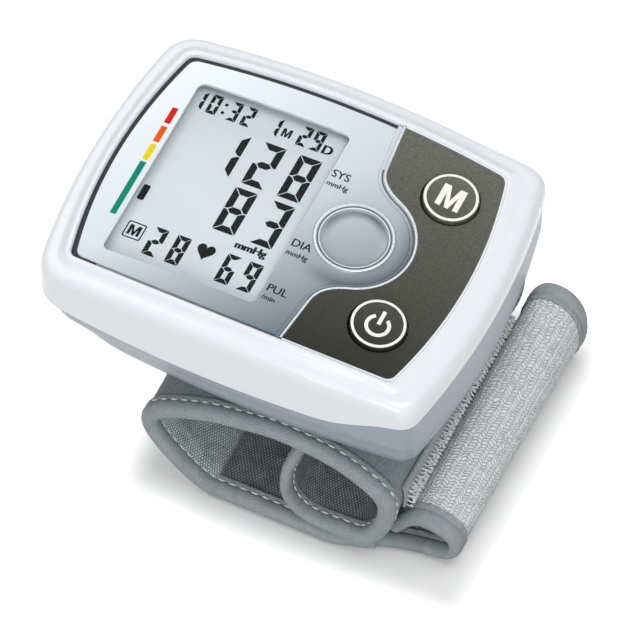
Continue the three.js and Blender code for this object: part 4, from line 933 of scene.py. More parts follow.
        # Radius and height above the face: two beads round a shallow floor
        profile = (
            *((7.35, -0.5), (7.7, -0.02), (7.5, 0.2), (7.25, 0.33), (7.0, 0.3), (6.85, 0.16), (6.72, 0.1)),
            *((6.58, 0.2), (6.4, 0.2), (6.2, -0.02), (5.9, -0.26), (5.4, -0.36), (4, -0.4), (2, -0.42)),
            (0.4, -0.42),
        )
        dish = turned("fascia_dish", profile, RING_STEPS)
        dish.data.transform(shell.tilted(DISH_X, 0))
        return dish

    def panel(self, shell, rise):
        panel = self.plate(shell, "button_field", rise + shell.plate, shell.plate_clear)
        carve(panel, self.left_of(shell.plate_clear))
        for side in (-1, 1):
            carve(panel, button_hole(RING_STEPS, 5, (BUTTON_X, side * BUTTON_Y)))
        return self.arched(shell, panel, rise, 0.14)


# Seven-segment digits: which of the segments a to g are on
SEGMENTS = {"0": "abcdef", "1": "bc", "2": "abged", "3": "abgcd"}
SEGMENTS |= {"6": "afgedc", "8": "abcdefg", "9": "abcdfg"}


def digit(character, left, bottom, wide, tall, stroke):
    """The segments of one digit as flat outlines with mitred ends."""
    gap, half, middle = stroke * 0.09, stroke / 2, tall / 2
    inner, low, high = stroke + gap, middle - half, middle + half
    top = [(gap, tall), (wide - gap, tall), (wide - inner, tall - stroke), (inner, tall - stroke)]
    upper_left = [(0, tall - gap), (stroke, tall - inner), (stroke, high + gap)]
    upper_left += [(stroke * 0.4, middle + gap), (0, middle + gap)]
    bar = [(half + gap, middle), (inner, high), (wide - inner, high)]
    bar += [(wide - half - gap, middle), (wide - inner, low), (inner, low)]
    across = [(wide - x, y) for x, y in upper_left]
    shapes = {"a": top, "b": across, "f": upper_left, "g": bar}
    for name, above in (("c", across), ("d", top), ("e", upper_left)):
        shapes[name] = [(x, tall - y) for x, y in above]
    return [[Vector((left + x, bottom + y)) for x, y in shapes[name]] for name in SEGMENTS[character]]


def heart(x, y, size, count=48):
    points = []
    for a in turns(count):
        across = 16 * math.sin(a) ** 3
        up = 13 * math.cos(a) - 5 * math.cos(2 * a) - 2 * math.cos(3 * a) - math.cos(4 * a)
        points.append(Vector((x + across * size / 32, y + (up + 2.5) * size / 28)))
    return points


def rounded(x0, y0, x1, y1, radius, steps=5):
    points = []
    for cx, cy, start in ((x1, y1, 0), (x0, y1, 90), (x0, y0, 180), (x1, y0, 270)):
        for i in range(steps + 1):
            a = math.radians(start + 90 * i / steps)
            inward = Vector((radius if cx == x0 else -radius, radius if cy == y0 else -radius))
            points.append(Vector((cx, cy)) + inward + Vector((math.cos(a), math.sin(a))) * radius)
    return points


def capital_m(left, bottom, wide, tall):
    """A bold capital M as one outline."""
    stem, shoulder = wide * 0.23, wide * 0.3
    slope, middle = stem * 0.36, wide / 2
    legs = ((0, 0), (stem, 0), (stem, tall * 0.64), (middle - slope, 0), (middle + slope, 0))
    legs += ((wide - stem, tall * 0.64), (wide - stem, 0), (wide, 0))
    head = ((wide, tall), (wide - shoulder, tall), (middle, tall * 0.36), (shoulder, tall), (0, tall))
    return [Vector((left + x, bottom + y)) for x, y in (*legs, *head)]


def raised(piece, height, lift=0.0):
    """Lays a flat piece on a surface of that height."""
    for vertex in piece.data.vertices:
        vertex.co.z += height(vertex.co.x, vertex.co.y) + lift
    return piece


def plates(name, outlines, height, thick=0.03):
    """Flat shapes printed on a surface: each outline is filled and given a little thickness."""
    return raised(joined([prism("plate", points, 0, thick) for points in outlines], name), height)


def lettering(name, words, height, bold, thick=0.03):
    """Printed words: each one's text, left end, baseline and cap height, printed three times over."""
    parts = []
    for text, x, y, tall in words:
        for shift in (-bold, 0, bold):
            word = added("word", bpy.ops.object.text_add)
            word.data.body = text
            word.data.size = tall / 0.69
            word.data.extrude = thick / 2
            word.data.resolution_u = 4
            bpy.ops.object.convert(target="MESH")
            word.data.transform(Matrix.Translation((x + shift, y, shift * 0.1)))
            parts.append(word)
    return raised(joined(parts, name), height, thick / 2)


class MONITOR_OT_display(bpy.types.Operator):
    """Builds the display, its window, what it shows and the print round it"""

    bl_idname = "monitor.display"
    bl_label = "Display"

    def execute(self, context):
        case, display = context.scene.monitor_case, context.scene.monitor_display
        shell = Shell(case)
        span = window(display, DISPLAY_EDGE)
        left, _, right, _ = span
        drop = display.drop / MM

        def chord(x):
            share = (x - left) / (right - left)
            return shell.face(left) * (1 - share) + shell.face(right) * share

        def on_display(x, y):
            return chord(x) - drop + 0.01

        def on_face(x, y):
            return shell.face(x) + 0.01

        glass = self.slab("display_glass", span, chord, drop, DISPLAY_THICK)
        settle(glass, display_glass(display), "case", "display_glass", UNIT, ["display_module"])
        lens = self.slab("display_window", span, chord, drop - LENS_THICK - SEAT, LENS_THICK)
        settle(lens, clear_acrylic(), "case", "clear_lens", UNIT, ["display_lens"])
        ink = display_ink(display)
        shown = plates("display_segments", self.readings(), on_display)
        settle(shown, ink, "case", "display_glass", UNIT)
        words = (("D", -0.95, 15.6, 1.95), ("mmHg", -6.1, -10.1, 1.6))
        settle(lettering("display_letters", words, on_display, 0.14), ink, "case", "display_glass", UNIT)
        settle(self.memory_box(on_display), ink, "case", "display_glass", UNIT)
        labels = (
            *(("SYS", 3.6, 10.55, 1.65), ("mmHg", 3.6, 8.45, 1.1), ("DIA", 3.6, -6.55, 1.65)),
            *(("mmHg", 3.6, -8.65, 1.1), ("PUL", 3.9, -17.45, 1.65), ("/min", 3.9, -19.4, 1.05)),
        )
        print_grey = printed_ink("printed_grey_ink", display.print, 0.9)
        settle(lettering("fascia_labels", labels, on_face, 0.035), print_grey, "case", "fascia_silver", UNIT)
        for name, code, high, low in (
            ("red", "#D8200F", 12.9, 9.1),
            ("orange", "#F05A00", 8.3, 4.5),
            ("yellow", "#F0D800", 3.85, 0),
            ("green", "#008A72", -0.5, -13.3),
        ):
            bar = plates(f"scale_bar_{name}", [rounded(-29.8, low, -28.6, high, 0.08, 2)], on_face)
            bar_ink = printed_ink(f"printed_{name}_ink", linear(code), 0.92)
            settle(bar, bar_ink, "case", "fascia_silver", UNIT)
        return {"FINISHED"}

    def slab(self, name, span, chord, drop, thick):
        left, front, right, back = span
        rings = []
        for x in (left, right):
            high = chord(x) - drop
            corners = ((front, high - thick), (back, high - thick), (back, high), (front, high))
            rings.append([Vector((x, y, z)) for y, z in corners])
        return modify(skin(name, rings), "BEVEL", width=0.12, segments=2, limit_method="ANGLE")

    def readings(self):
        # Text, left ends of its digits, their bottom, width, height and stroke
        numbers = (
            ("10", (-27.45, -24.5), 15.35, 2.0, 4.4, 0.68),
            ("32", (-20.4, -17.5), 15.35, 2.0, 4.4, 0.68),
            ("1", (-11.95,), 15.4, 1.9, 4.35, 0.7),
            ("29", (-6.1, -3.4), 15.45, 2.05, 4.5, 0.7),
            ("128", (-18.45, -11.3, -4.0), 3.55, 4.5, 10.15, 1.38),
            ("83", (-11.65, -4.05), -7.9, 4.5, 10.25, 1.38),
            ("28", (-21.05, -16.45), -18.2, 2.75, 6.5, 0.95),
            ("69", (-6.25, -1.8), -18.35, 2.8, 6.6, 0.95),
        )
        shapes = []
        for text, places, *sizes in numbers:
            for character, left in zip(text, places):
                shapes += digit(character, left, *sizes)
        shapes += [circle(0.34, 0, 24, (-21.4, y)) for y in (18.4, 16.5)]
        shapes += [capital_m(-9.35, 16.1, 1.85, 1.9), capital_m(-25.5, -15.3, 2.35, 2.3)]
        shapes.append(heart(-10.35, -13.4, 3.5))
        shapes.append(rounded(-27.3, -7.45, -25.95, -3.9, 0.3))
        return shapes

    def memory_box(self, height):
        rings = []
        for inset, up in ((0, 0), (0, 0.03), (0.24, 0.03), (0.24, 0)):
            line = rounded(-26.15 + inset, -16.05 + inset, -22.5 - inset, -12.3 - inset, 0.35 - inset / 2)
            rings.append([Vector((p.x, p.y, height(p.x, p.y) + up)) for p in line])
        return tube("memory_box", rings)


class MONITOR_OT_buttons(bpy.types.Operator):
    """Builds the memory and power buttons with their rings and symbols"""

    bl_idname = "monitor.buttons"
    bl_label = "Buttons"

    profile = (
        *((6.3, -3.35), (6.3, -2.75), (BUTTON_RADIUS, -2.75), (BUTTON_RADIUS, 0.6), (BUTTON_RADIUS, 1.3)),
        *((5.26, 1.46), (5.16, 1.6), (5.0, 1.68), (4.8, 1.7), (4.5, 1.66), (4.0, 1.58), (3.3, 1.5)),
        *((2.4, 1.45), (1.2, 1.42), (0.3, 1.42)),
    )

    def execute(self, context):
        case = context.scene.monitor_case
        shell = Shell(case)
        paint = textured_paint(case)
        white = printed_ink("printed_white_ink", case.mark, 0.96)
        for name, side in (("memory", 1), ("power", -1)):
            place = shell.tilted(BUTTON_X, side * BUTTON_Y)
            body = f"{name}_key"
            cap = turned(f"{name}_cap", self.profile, RING_STEPS)
            symbol = self.letter() if name == "memory" else self.power_sign()
            marks = joined([self.ring(), symbol], f"{name}_mark")
            for piece, material, nodes in ((cap, paint, [f"{name}_button"]), (marks, white, [])):
                piece.data.transform(place)
                settle(piece, material, body, "dark_panel", UNIT, nodes)
        return {"FINISHED"}

    def height(self, x, y):
        """The cap's surface above the face at a point."""
        radius = math.hypot(x, y)
        rows = self.profile[8:]
        for (outer, high), (inner, low) in zip(rows, rows[1:]):
            if inner <= radius <= outer:
                return low + (high - low) * (radius - inner) / (outer - inner)
        return rows[-1][1] if radius < rows[-1][0] else rows[0][1]

    def ring(self):
        rows = ((5.1, 1.6), (5.09, 1.65), (4.95, 1.71), (4.78, 1.73), (4.58, 1.7), (4.56, 1.64))
        return tube("ring", [circle(radius, high, RING_STEPS) for radius, high in rows])

    def letter(self):
        return plates("letter", [capital_m(-2.3, -2.45, 4.6, 4.9)], self.height, 0.04)

    def power_sign(self):
        opening, outer, inner, steps = math.radians(34), 2.45, 1.75, 40
        start, sweep, low = math.pi / 2 + opening, math.tau - 2 * opening, 0.35
        angles = [start + sweep * i / steps for i in range(steps + 1)]
        bow = [Vector((outer * math.cos(a), outer * math.sin(a) - low)) for a in angles]
        bow += [Vector((inner * math.cos(a), inner * math.sin(a) - low)) for a in reversed(angles)]
        return plates("sign", [bow, rounded(-0.36, -0.05, 0.36, 2.95, 0.05, 2)], self.height, 0.04)


class Strip:
    """The middle line of a wound strip in the X-Z plane, with places at a distance along it."""

    straight_steps, curve_steps = 12, 40
    slim_until, slim_blend = 20, 14
    sway_long, sway_wide, sway_from = 10, 24, 8

    def __init__(self, knots, sway=0.0, slim=1.0):
        self.sway, self.slim = sway, slim
        points = [Vector(knots[0])]
        for knot in knots[1:]:
            if len(knot) == 2:
                end = Vector(knot)
                shares = [(i + 1) / self.straight_steps for i in range(self.straight_steps)]
                points += [points[-1].lerp(end, share) for share in shares]
            else:
                a, b, c = (Vector(p).to_3d() for p in knot)
                curve = interpolate_bezier(points[-1].to_3d(), a, b, c, self.curve_steps + 1)
                points += [Vector(p[:2]) for p in curve[1:]]
        self.points = points
        self.lengths = [0.0]
        for a, b in zip(points, points[1:]):
            self.lengths.append(self.lengths[-1] + (b - a).length)
        self.total = self.lengths[-1]

    def at(self, along):
        """Place and outward normal at a distance along the line."""
        along = max(0.0, min(along, self.total))
        low, high = 0, len(self.lengths) - 1
        while high - low > 1:
            mid = (low + high) // 2
            low, high = (mid, high) if self.lengths[mid] <= along else (low, mid)
        share = (along - self.lengths[low]) / (self.lengths[high] - self.lengths[low])
        point = self.points[low].lerp(self.points[high], share)
        before, after = self.points[max(low - 1, 0)], self.points[min(high + 1, len(self.points) - 1)]
        direction = (after - before).normalized()
        return point, Vector((direction.y, -direction.x))

    def place(self, along, y, offset):
        """A place on the strip, thinner at its start, with the cloth's own slack off the table."""
        point, normal = self.at(along)
        offset *= self.slim + (1 - self.slim) * eased((along - self.slim_until) / self.slim_blend)
        ripple = noise.noise(Vector((along / self.sway_long, y / self.sway_wide, 7)))
        offset += self.sway * ripple * min(1.0, point.y / self.sway_from)
        return Vector((point.x + normal.x * offset, y, point.y + normal.y * offset))


class Taper:
    """A strip that runs from one middle line at its front edge to another at its rear edge."""

    def __init__(self, front, rear, front_y, rear_y):
        self.front, self.rear, self.front_y, self.rear_y = front, rear, front_y, rear_y
        self.total = (front.total + rear.total) / 2

    def place(self, along, y, offset):
        share = along / self.total
        front = self.front.place(share * self.front.total, y, offset)
        rear = self.rear.place(share * self.rear.total, y, offset)
        return front.lerp(rear, (y - self.front_y) / (self.rear_y - self.front_y))


def seat_on(strip, along, y, offset, ahead, side):
    """Place, direction and outward normal for something small laid on a strip, heading by ahead."""
    step = ahead * 0.2
    middle = strip.place(along, y, 0)
    out = (strip.place(along, y, 1) - middle).normalized() * side
    point = strip.place(along, y, offset * side)
    heading = strip.place(along + step.x, y + step.y, 0) - strip.place(along - step.x, y - step.y, 0)
    heading = (heading - out * heading.dot(out)).normalized()
    return point, heading, out


LOOP = (
    (5.6, 25.4),
    ((3.2, 22.4), (2.2, 18.5), (2.2, 14)),
    ((2.2, 8.6), (4.6, 5.1), (9.8, 5.1)),
    (16, 5.1),
    ((20.3, 5.1), (22.2, 10.8), (22.7, 18)),
    ((22.9, 24.5), (11.6, 29), (2.6, 29)),
    ((-8.4, 29), (-25.6, 23.2), (-25.6, 16.7)),
    ((-25.6, 11.7), (-16.4, 1.6), (-12.4, 1.6)),
    (20, 1.6),
)
# The tail's fold is low at its front edge and full at its rear edge
TAIL_FRONT_LINE = (
    (18.6, 1.5),
    (27, 1.3),
    ((31.8, 1.3), (34.4, 2.4), (34.4, 5.7)),
    ((34.4, 8.9), (31.4, 10.1), (28.2, 10.1)),
    ((25.6, 10.1), (23.9, 7.2), (22.2, 4.4)),
)
TAIL_REAR_LINE = (
    (18.6, 1.5),
    (27.5, 1.3),
    ((33.2, 1.3), (36.0, 4), (36.0, 9.8)),
    ((36.0, 15.8), (33.8, 18.6), (30.6, 18.6)),
    ((27.5, 18.6), (26.1, 14.2), (25.8, 9)),
)
TAIL_FRONT, TAIL_REAR = -24.3, 30.1
TAIL_ROOT = 0.28  # share of the tail's length that stays on the table
TAIL_FLARE, FLARE_SHARE = 2.9, 0.3
UNDERSIDE, DRAWN_BACK = 9.0, 2.6
LINING_FOLD = 32.6  # the lining's fold from the cuff's end on the table
# Loop pile and hooks, drawn a little coarser than they are so that they show
ROW_PITCH, LOOP_PITCH, PILE_RELIEF, HOOK_WIRE = 0.95, 0.66, 0.16, 0.14
HOOK_STRIP, HOOK_STRIP_UP, HOOK_STRIP_THICK, HOOK_REAR = 5.6, 1.9, 0.5, 21.0
HOOK_ROWS, HOOK_COUNT, HOOK_ROW_PITCH, HOOK_PITCH, HOOK_UP = 6, 60, 0.75, 0.9, 2.1
PILE_THICK, PILE_UP, PILE_RIPPLE = 1.4, 0.15, 0.12
# Offset from the cuff's middle, thickness and ripple of each layer
FELT_LAYER, LINING_LAYER = (0.95, 0.6, 0.1), (-1.0, 0.5, 0.18)
WELT, WELT_WIDTH, WELT_EDGE, WELT_FADE = 0.9, 26, 0.7, 8
HEM = 1.0  # cloth hidden in the binding
CUFF_PITCH, STRAP_PITCH = 2.3, 2.0  # stitch to stitch
STRAP_TAPE, STRAP_HALF, STRAP_SEAM, STRAP_SEAM_UP = 4.0, 1.22, 3.7, 1.2
CUFF_THREAD, STRAP_THREAD = (0.92, 0.27, 0.24), (0.9, 0.13, 0.1)
KNIT = ("rows", "loops")  # attributes of the pile's points
CUFF_SLACK = {"sway": 0.45, "slim": 0.66}
SEAM_SHARE = 0.72  # the stitches lie in the tape's hollow
# A tape folded round an edge: shares of its width from the edge, and of half its thickness
TAPE_FACE = (
    *((1.0, 0.8), (1.0, 0.96), (0.92, 1.02), (0.8, 0.99), (0.72, 0.82), (0.64, 0.98), (0.52, 1.07)),
    *((0.4, 1.07), (0.3, 1.02), (0.2, 0.93), (0.09, 0.72), (0.02, 0.38)),
)
TAPE_BACK = [(share, -offset) for share, offset in reversed(TAPE_FACE)]
TAPE = (*TAPE_FACE, (0.0, 0.0), *TAPE_BACK, (0.5, -0.72), (0.3, 0.0), (0.5, 0.72))


def front_edge(total, half, along):
    """The cuff's front edge: straight, then drawn back along the underside towards the narrower tail."""
    share = max(0.0, (along - total + UNDERSIDE) / UNDERSIDE)
    return -half + DRAWN_BACK * share**1.3


def edge_route(total, half, radius):
    """The cuff's bound edge in its own plane: front edge, round the flap's end, back edge."""
    steps, corner_steps, end_steps = 150, 10, 30

    def corner(start, y):
        angles = [math.radians(start - 90 * i / corner_steps) for i in range(corner_steps)]
        return [Vector((radius + radius * math.cos(a), y + radius * math.sin(a))) for a in angles]

    points = []
    for i in range(steps):
        along = total - (total - radius) * i / steps
        points.append(Vector((along, front_edge(total, half, along))))
    points += corner(270, radius - half)
    points += [Vector((0, radius - half + 2 * (half - radius) * i / end_steps)) for i in range(end_steps)]
    points += corner(180, half - radius)
    points += [Vector((radius + (total - radius) * i / steps, half)) for i in range(steps + 1)]
    return with_inward(points)


def seam_along(strip, route, inset, offset, pitch):
    """Places for stitches on both faces of a strip, at an even pitch along its edge."""
    places, run, last = [], 0.0, None
    for point, inward in route:
        step = (point - last).length if last is not None else 0.0
        while last is not None and run + step >= pitch:
            share = (pitch - run) / step
            spot = last.lerp(point, share) + inward * inset
            ahead = Vector((-inward.y, inward.x))
            for side in (-1, 1):
                places.append(seat_on(strip, spot.x, spot.y, offset, ahead, side))
            last = last.lerp(point, share)
            step, run = (point - last).length, 0.0
        run += step
        last = point
    return places


def stitches(name, places, thread):
    """Short thread stitches, each a small bead laid along the seam."""
    mesh = bmesh.new()
    size = Matrix.Diagonal((*thread, 1))
    for point, along, out in places:
        turn = Matrix((along, out.cross(along), out)).transposed().to_4x4()
        matrix = Matrix.Translation(point) @ turn @ size
        bmesh.ops.create_uvsphere(mesh, u_segments=6, v_segments=4, radius=1, matrix=matrix)
    return made_of(name, mesh)


def tape_round(name, strip, route, wide, half_thick):
    """The binding: its folded section carried along the strip's edge."""
    rings = []
    for point, inward in route:
        ring = []
        for share, offset in TAPE:
            spot = point + inward * wide * share
            ring.append(strip.place(spot.x, spot.y, offset * half_thick))
        rings.append(ring)
    return skin(name, rings)


class MONITOR_OT_cuff(bpy.types.Operator):
    """Builds the felt cuff with its lining, binding and seams"""

    bl_idname = "monitor.cuff"
    bl_label = "Cuff"

    def execute(self, context):
        cuff = context.scene.monitor_cuff
        strip = Strip(LOOP, **CUFF_SLACK)
        half, mid, bound = cuff.wide / MM / 2, cuff.thick / MM / 2, cuff.bound / MM
        radius = cuff.end_radius / MM
        felt = self.layer("cuff_felt", strip, half, radius, *FELT_LAYER)
        flat_run = strip.total - LINING_FOLD

        def welt(along):
            """The lining is doubled up the loop's left side, with a soft edge where the flat run starts."""
            edge = eased((flat_run - along) / WELT_EDGE)
            return WELT * edge * eased((along - flat_run + WELT_WIDTH) / WELT_FADE)

        lining = self.layer("cuff_lining", strip, half, radius, *LINING_LAYER, welt)
        route = edge_route(strip.total, half, radius)
        binding = tape_round("cuff_tape", strip, route, bound, mid)
        places = seam_along(strip, route, bound * SEAM_SHARE, mid * 0.95, CUFF_PITCH)
        seams = stitches("cuff_seams", places, CUFF_THREAD)
        settle(felt, felt_cloth(cuff), "case", "felt", TABLE, ["cuff_cover"], angle=60)
        edge = flat_run / strip.total
        # Painted light and shade on the lining: bright up the loop's left side, dark on the flat run on the
        # table
        painted_light_levels = ((0, 0.55), (0.3, 0.5), (edge - 0.17, 0.95), (edge - 0.01, 0.95), (edge, 0.42), (1, 0.36))
        tint, low = shade(cuff.knit, 2.9), shade(cuff.knit, 0.34)
        knit = cloth("fine_knit", tint, low, 0.55, 32, 0.2, strip.total, 2 * half, painted_light_levels)
        settle(lining, knit, "case", "knit", TABLE, ["cuff_liner"], angle=60)
        tape = cloth("woven_tape", shade(cuff.tape, 1.2), shade(cuff.tape, 0.55), 0.5, 45, 0.1, 20, 330)
        settle(binding, tape, "case", "binding_tape", TABLE, ["cuff_binding"], angle=60)
        thread = speckled("sewing_thread", cuff.thread, shade(cuff.thread, 0.75), 0.3, 0.7, 0.3)
        settle(seams, thread, "case", "binding_tape", TABLE, angle=80)
        return {"FINISHED"}

    def layer(self, name, strip, half, radius, offset, thick, wave, welt=lambda along: 0.0):
        # Sizes of the broad and the fine ripples, and the way from the edges to their full height
        broad, fine, edge = 7, 2.6, 4

        def place(u, v):
            along = HEM + (strip.total - HEM) * u
            round_off = radius - math.sqrt(max(0.0, radius**2 - (radius - min(along, radius)) ** 2))
            front = front_edge(strip.total, half, along) + HEM + round_off
            rear = half - HEM - round_off
            y = front + (rear - front) * v
            ripple = noise.noise(Vector((along / broad, y / broad, offset)))
            ripple += noise.noise(Vector((along / fine, y / fine, 3)))
            clear = min(1.0, (rear - y) / edge, (y - front) / edge)
            return strip.place(along, y, offset + (wave * ripple - welt(along)) * clear)

        piece = sheet(name, 300, 60, place)
        return modify(piece, "SOLIDIFY", thickness=thick, offset=0)


class MONITOR_OT_strap(bpy.types.Operator):
    """Builds the strap's tail of loop pile, its bound ends and the hook tape it grips"""

    bl_idname = "monitor.strap"
    bl_label = "Strap"

    # Size of the pile's ruffles, and how far they push the rows and loops aside
    ruffle, row_push, loop_push = 1.7, 0.45, 0.65
    first_row = 40

    def execute(self, context):
        cuff = context.scene.monitor_cuff
        strip = Taper(Strip(TAIL_FRONT_LINE), Strip(TAIL_REAR_LINE), TAIL_FRONT, TAIL_REAR)
        pile = loop_pile(cuff)
        tape = cloth("woven_strap_tape", shade(cuff.tape, 1.2), shade(cuff.tape, 0.55), 0.5, 45, 0.1, 18, 60)
        thread = speckled("strap_thread", shade(cuff.thread, 0.66), shade(cuff.thread, 0.5), 0.3, 0.7, 0.3)
        for name, low, high, counts, nodes in (
            ("root", 0.0, TAIL_ROOT, (60, 190), ["strap_base"]),
            ("tail", TAIL_ROOT, 1.0, (172, 248), ["strap_flap"]),
        ):
            body = "case" if name == "root" else None
            ground = self.pile(f"strap_{name}", strip, low, high, counts)
            settle(ground, pile, body, "loop_pile", TABLE, nodes, angle=60)
            front, rear = self.edges(strip, low, high)
            ends = [tape_round("end", strip, route, STRAP_TAPE, STRAP_HALF) for route in (front, rear)]
            binding = joined(ends, f"strap_{name}_tape")
            settle(binding, tape, body, "binding_tape", TABLE, angle=60)
            places = []
            for route in (front, rear):
                places += seam_along(strip, route, STRAP_SEAM, STRAP_SEAM_UP, STRAP_PITCH)
            seams = stitches(f"strap_{name}_seams", places, STRAP_THREAD)
            settle(seams, thread, body, "binding_tape", TABLE, angle=80)
            if body is None:
                for piece in (ground, binding, seams):
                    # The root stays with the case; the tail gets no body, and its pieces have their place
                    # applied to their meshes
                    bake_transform(piece)
        tape, hooks = self.hooks(Strip(LOOP, **CUFF_SLACK))
        # Moulded nylon: the woven ground is matt, the hooks catch small bright points
        ground = speckled("hook_ground_nylon", linear("#AAB0B3"), linear("#90979A"), 0.4, 0.7, 0.3)
        settle(tape, ground, "case", "loop_pile", TABLE, ["hook_tape"], angle=60)
        bright = speckled("hook_nylon", linear("#E4E8E9"), linear("#CDD1D3"), 0.3, 0.3, 0.1)
        settle(hooks, bright, "case", "loop_pile", TABLE, angle=60)
        return {"FINISHED"}

    def front(self, share):
        """The tail's front edge, which comes back from the cuff's as far as the fold."""
        return TAIL_FRONT - TAIL_FLARE * (1 - min(1.0, share / FLARE_SHARE)) ** 1.5

    def edges(self, strip, low, high):
        steps = 60
        shares = [low + (high - low) * i / steps for i in range(steps + 1)]
        front = with_inward([Vector((strip.total * share, self.front(share))) for share in reversed(shares)])
        rear = with_inward([Vector((strip.total * share, TAIL_REAR)) for share in shares])
        return front, rear

    def knit(self, along, y):
        """A point's place among the rows and, in its row, among the loops, with the cloth's ruffles."""
        spot = Vector((along / self.ruffle, y / self.ruffle, 2))
        rows = self.first_row + along / ROW_PITCH + self.row_push * noise.noise(spot)
        return rows, y / LOOP_PITCH + self.loop_push * noise.noise(spot + Vector((11, 0, 0)))

    def height(self, along, y):
        """Height of the pile, about 0 to 1: loops that lean to either side in turn, no two quite alike."""
        rows, places = self.knit(along, y)
        beside = 2 * (rows % 1.0) - 1
        lean = 0.5 if math.floor(rows) % 2 else -0.5
        loop = 0.5 + 0.5 * math.cos(math.tau * (places + lean * beside))
        fluff = noise.noise(Vector((along / 0.8, y / 0.8, 6)))
        return max(0.0, 0.7 * loop * (1 - abs(beside) ** 3) + 0.3 * fluff + 0.2)

    def pile(self, name, strip, low, high, counts):
        knit = []

        def place(u, v):
            share = low + (high - low) * u
            front = self.front(share) + HEM
            y = front + (TAIL_REAR - HEM - front) * v
            along = strip.total * share
            knit.append(self.knit(along, y))
            ripple = noise.noise(Vector((along / 5, y / 9, 1)))
            up = PILE_UP + PILE_RIPPLE * ripple + PILE_RELIEF * self.height(along, y)
            return strip.place(along, y, up)

        piece = sheet(name, *counts, place)
        for attribute, values in zip(KNIT, zip(*knit)):
            piece.data.attributes.new(attribute, "FLOAT", "POINT").data.foreach_set("value", values)
        return modify(piece, "SOLIDIFY", thickness=PILE_THICK, offset=0)

    def hooks(self, loop):
        """A thin tape sewn to the loop's side, with rows of stiff hooks along its lower edge."""
        side, up = 21, 14
        start = next(i for i, p in enumerate(loop.points) if p.x > side and p.y >= up)
        low = loop.lengths[start]
        # Bare tape along the front, the rear and the lower edge
        front, rear, lower = 0.6, 0.5, 0.4

        def place(u, v):
            return loop.place(low + HOOK_STRIP * u, TAIL_FRONT + (HOOK_REAR - TAIL_FRONT) * v, HOOK_STRIP_UP)

        tape = sheet("hook_strip", 24, 60, place)
        modify(tape, "SOLIDIFY", thickness=HOOK_STRIP_THICK, offset=0)
        mesh = bmesh.new()
        for row in range(HOOK_ROWS):
            for i in range(HOOK_COUNT):
                y = TAIL_FRONT + front + HOOK_PITCH * (i + row % 2 / 2)
                if y > HOOK_REAR - rear:
                    continue
                swing = 1.6 * noise.noise(Vector((row * 2.3, y * 1.7, 4)))
                ahead = Vector((math.cos(swing), math.sin(swing)))
                along = low + lower + HOOK_ROW_PITCH * row
                self.hook(mesh, *seat_on(loop, along, y, HOOK_UP, ahead, 1))
        return tape, made_of("strap_hooks", mesh)

    def hook(self, mesh, point, heading, out):
        """One hook: a thin stiff wire that rises from the tape and bends over."""
        side = out.cross(heading)
        bend = ((0, 0), (0, 0.7), (0.12, 1.1), (0.4, 1.3), (0.68, 1.12), (0.74, 0.8))
        rings = []
        for i, (ahead, up) in enumerate(bend):
            before, after = Vector(bend[max(i - 1, 0)]), Vector(bend[min(i + 1, len(bend) - 1)])
            run = (after - before).normalized()
            across = heading * run.y - out * run.x
            centre = point + heading * ahead + out * up
            corners = [math.pi / 4 + a for a in turns(4)]
            ring = [centre + (side * math.cos(a) + across * math.sin(a)) * HOOK_WIRE for a in corners]
            rings.append([mesh.verts.new(p) for p in ring])
        for low, high in zip(rings, rings[1:]):
            for k in range(4):
                beside = (k + 1) % 4
                mesh.faces.new((low[k], low[beside], high[beside], high[k]))
        mesh.faces.new(reversed(rings[0]))
        mesh.faces.new(rings[-1])


class MONITOR_OT_inside(bpy.types.Operator):
    """Gives the parts inside the case their finishes"""

    bl_idname = "monitor.inside"
    bl_label = "Inside"

    def execute(self, context):
        table = (
            # Moulded polypropylene and ABS: even and matt
            ("grey_plastic", "grey_abs", "#8B9094", "#7F8488", 0.8, 0.5, 0.1),
            ("black_plastic", "black_abs", "#26282A", "#1C1E20", 0.6, 0.5, 0.15),
            # Glass-fibre laminate under green solder mask
            ("board_laminate", "green_laminate", "#2F6B45", "#24573A", 1.2, 0.4, 0.15),
            # Nickel-plated steel, drawn or turned
            ("steel", "plated_steel", "#B9BCBE", "#A2A6A8", 0.5, 0.3, 0.1, 1.0),
            # Printed sleeve of a dry cell
            ("cell_jacket", "cell_sleeve", "#3F5F8C", "#38557E", 2.0, 0.35, 0.05, 0.3),
            # Silicone and nitrile rubber
            ("rubber", "black_rubber", "#34363A", "#2A2C30", 0.7, 0.8, 0.2),
        )
        finishes = {}
        for slot, name, base, low, *surface in table:
            finishes[slot] = speckled(name, linear(base), linear(low), *surface)
        slots = {s["node"]: s["material_slot"] for s in frame["record"]["subparts"]}
        for name, node in frame["nodes"].items():
            if node.hide_render:
                continue
            material = finishes.get(slots[name])
            if material is None:
                raise RuntimeError(f"{name} shows with no finish of its own")
            node.data.materials.clear()
            node.data.materials.append(material)
        return {"FINISHED"}


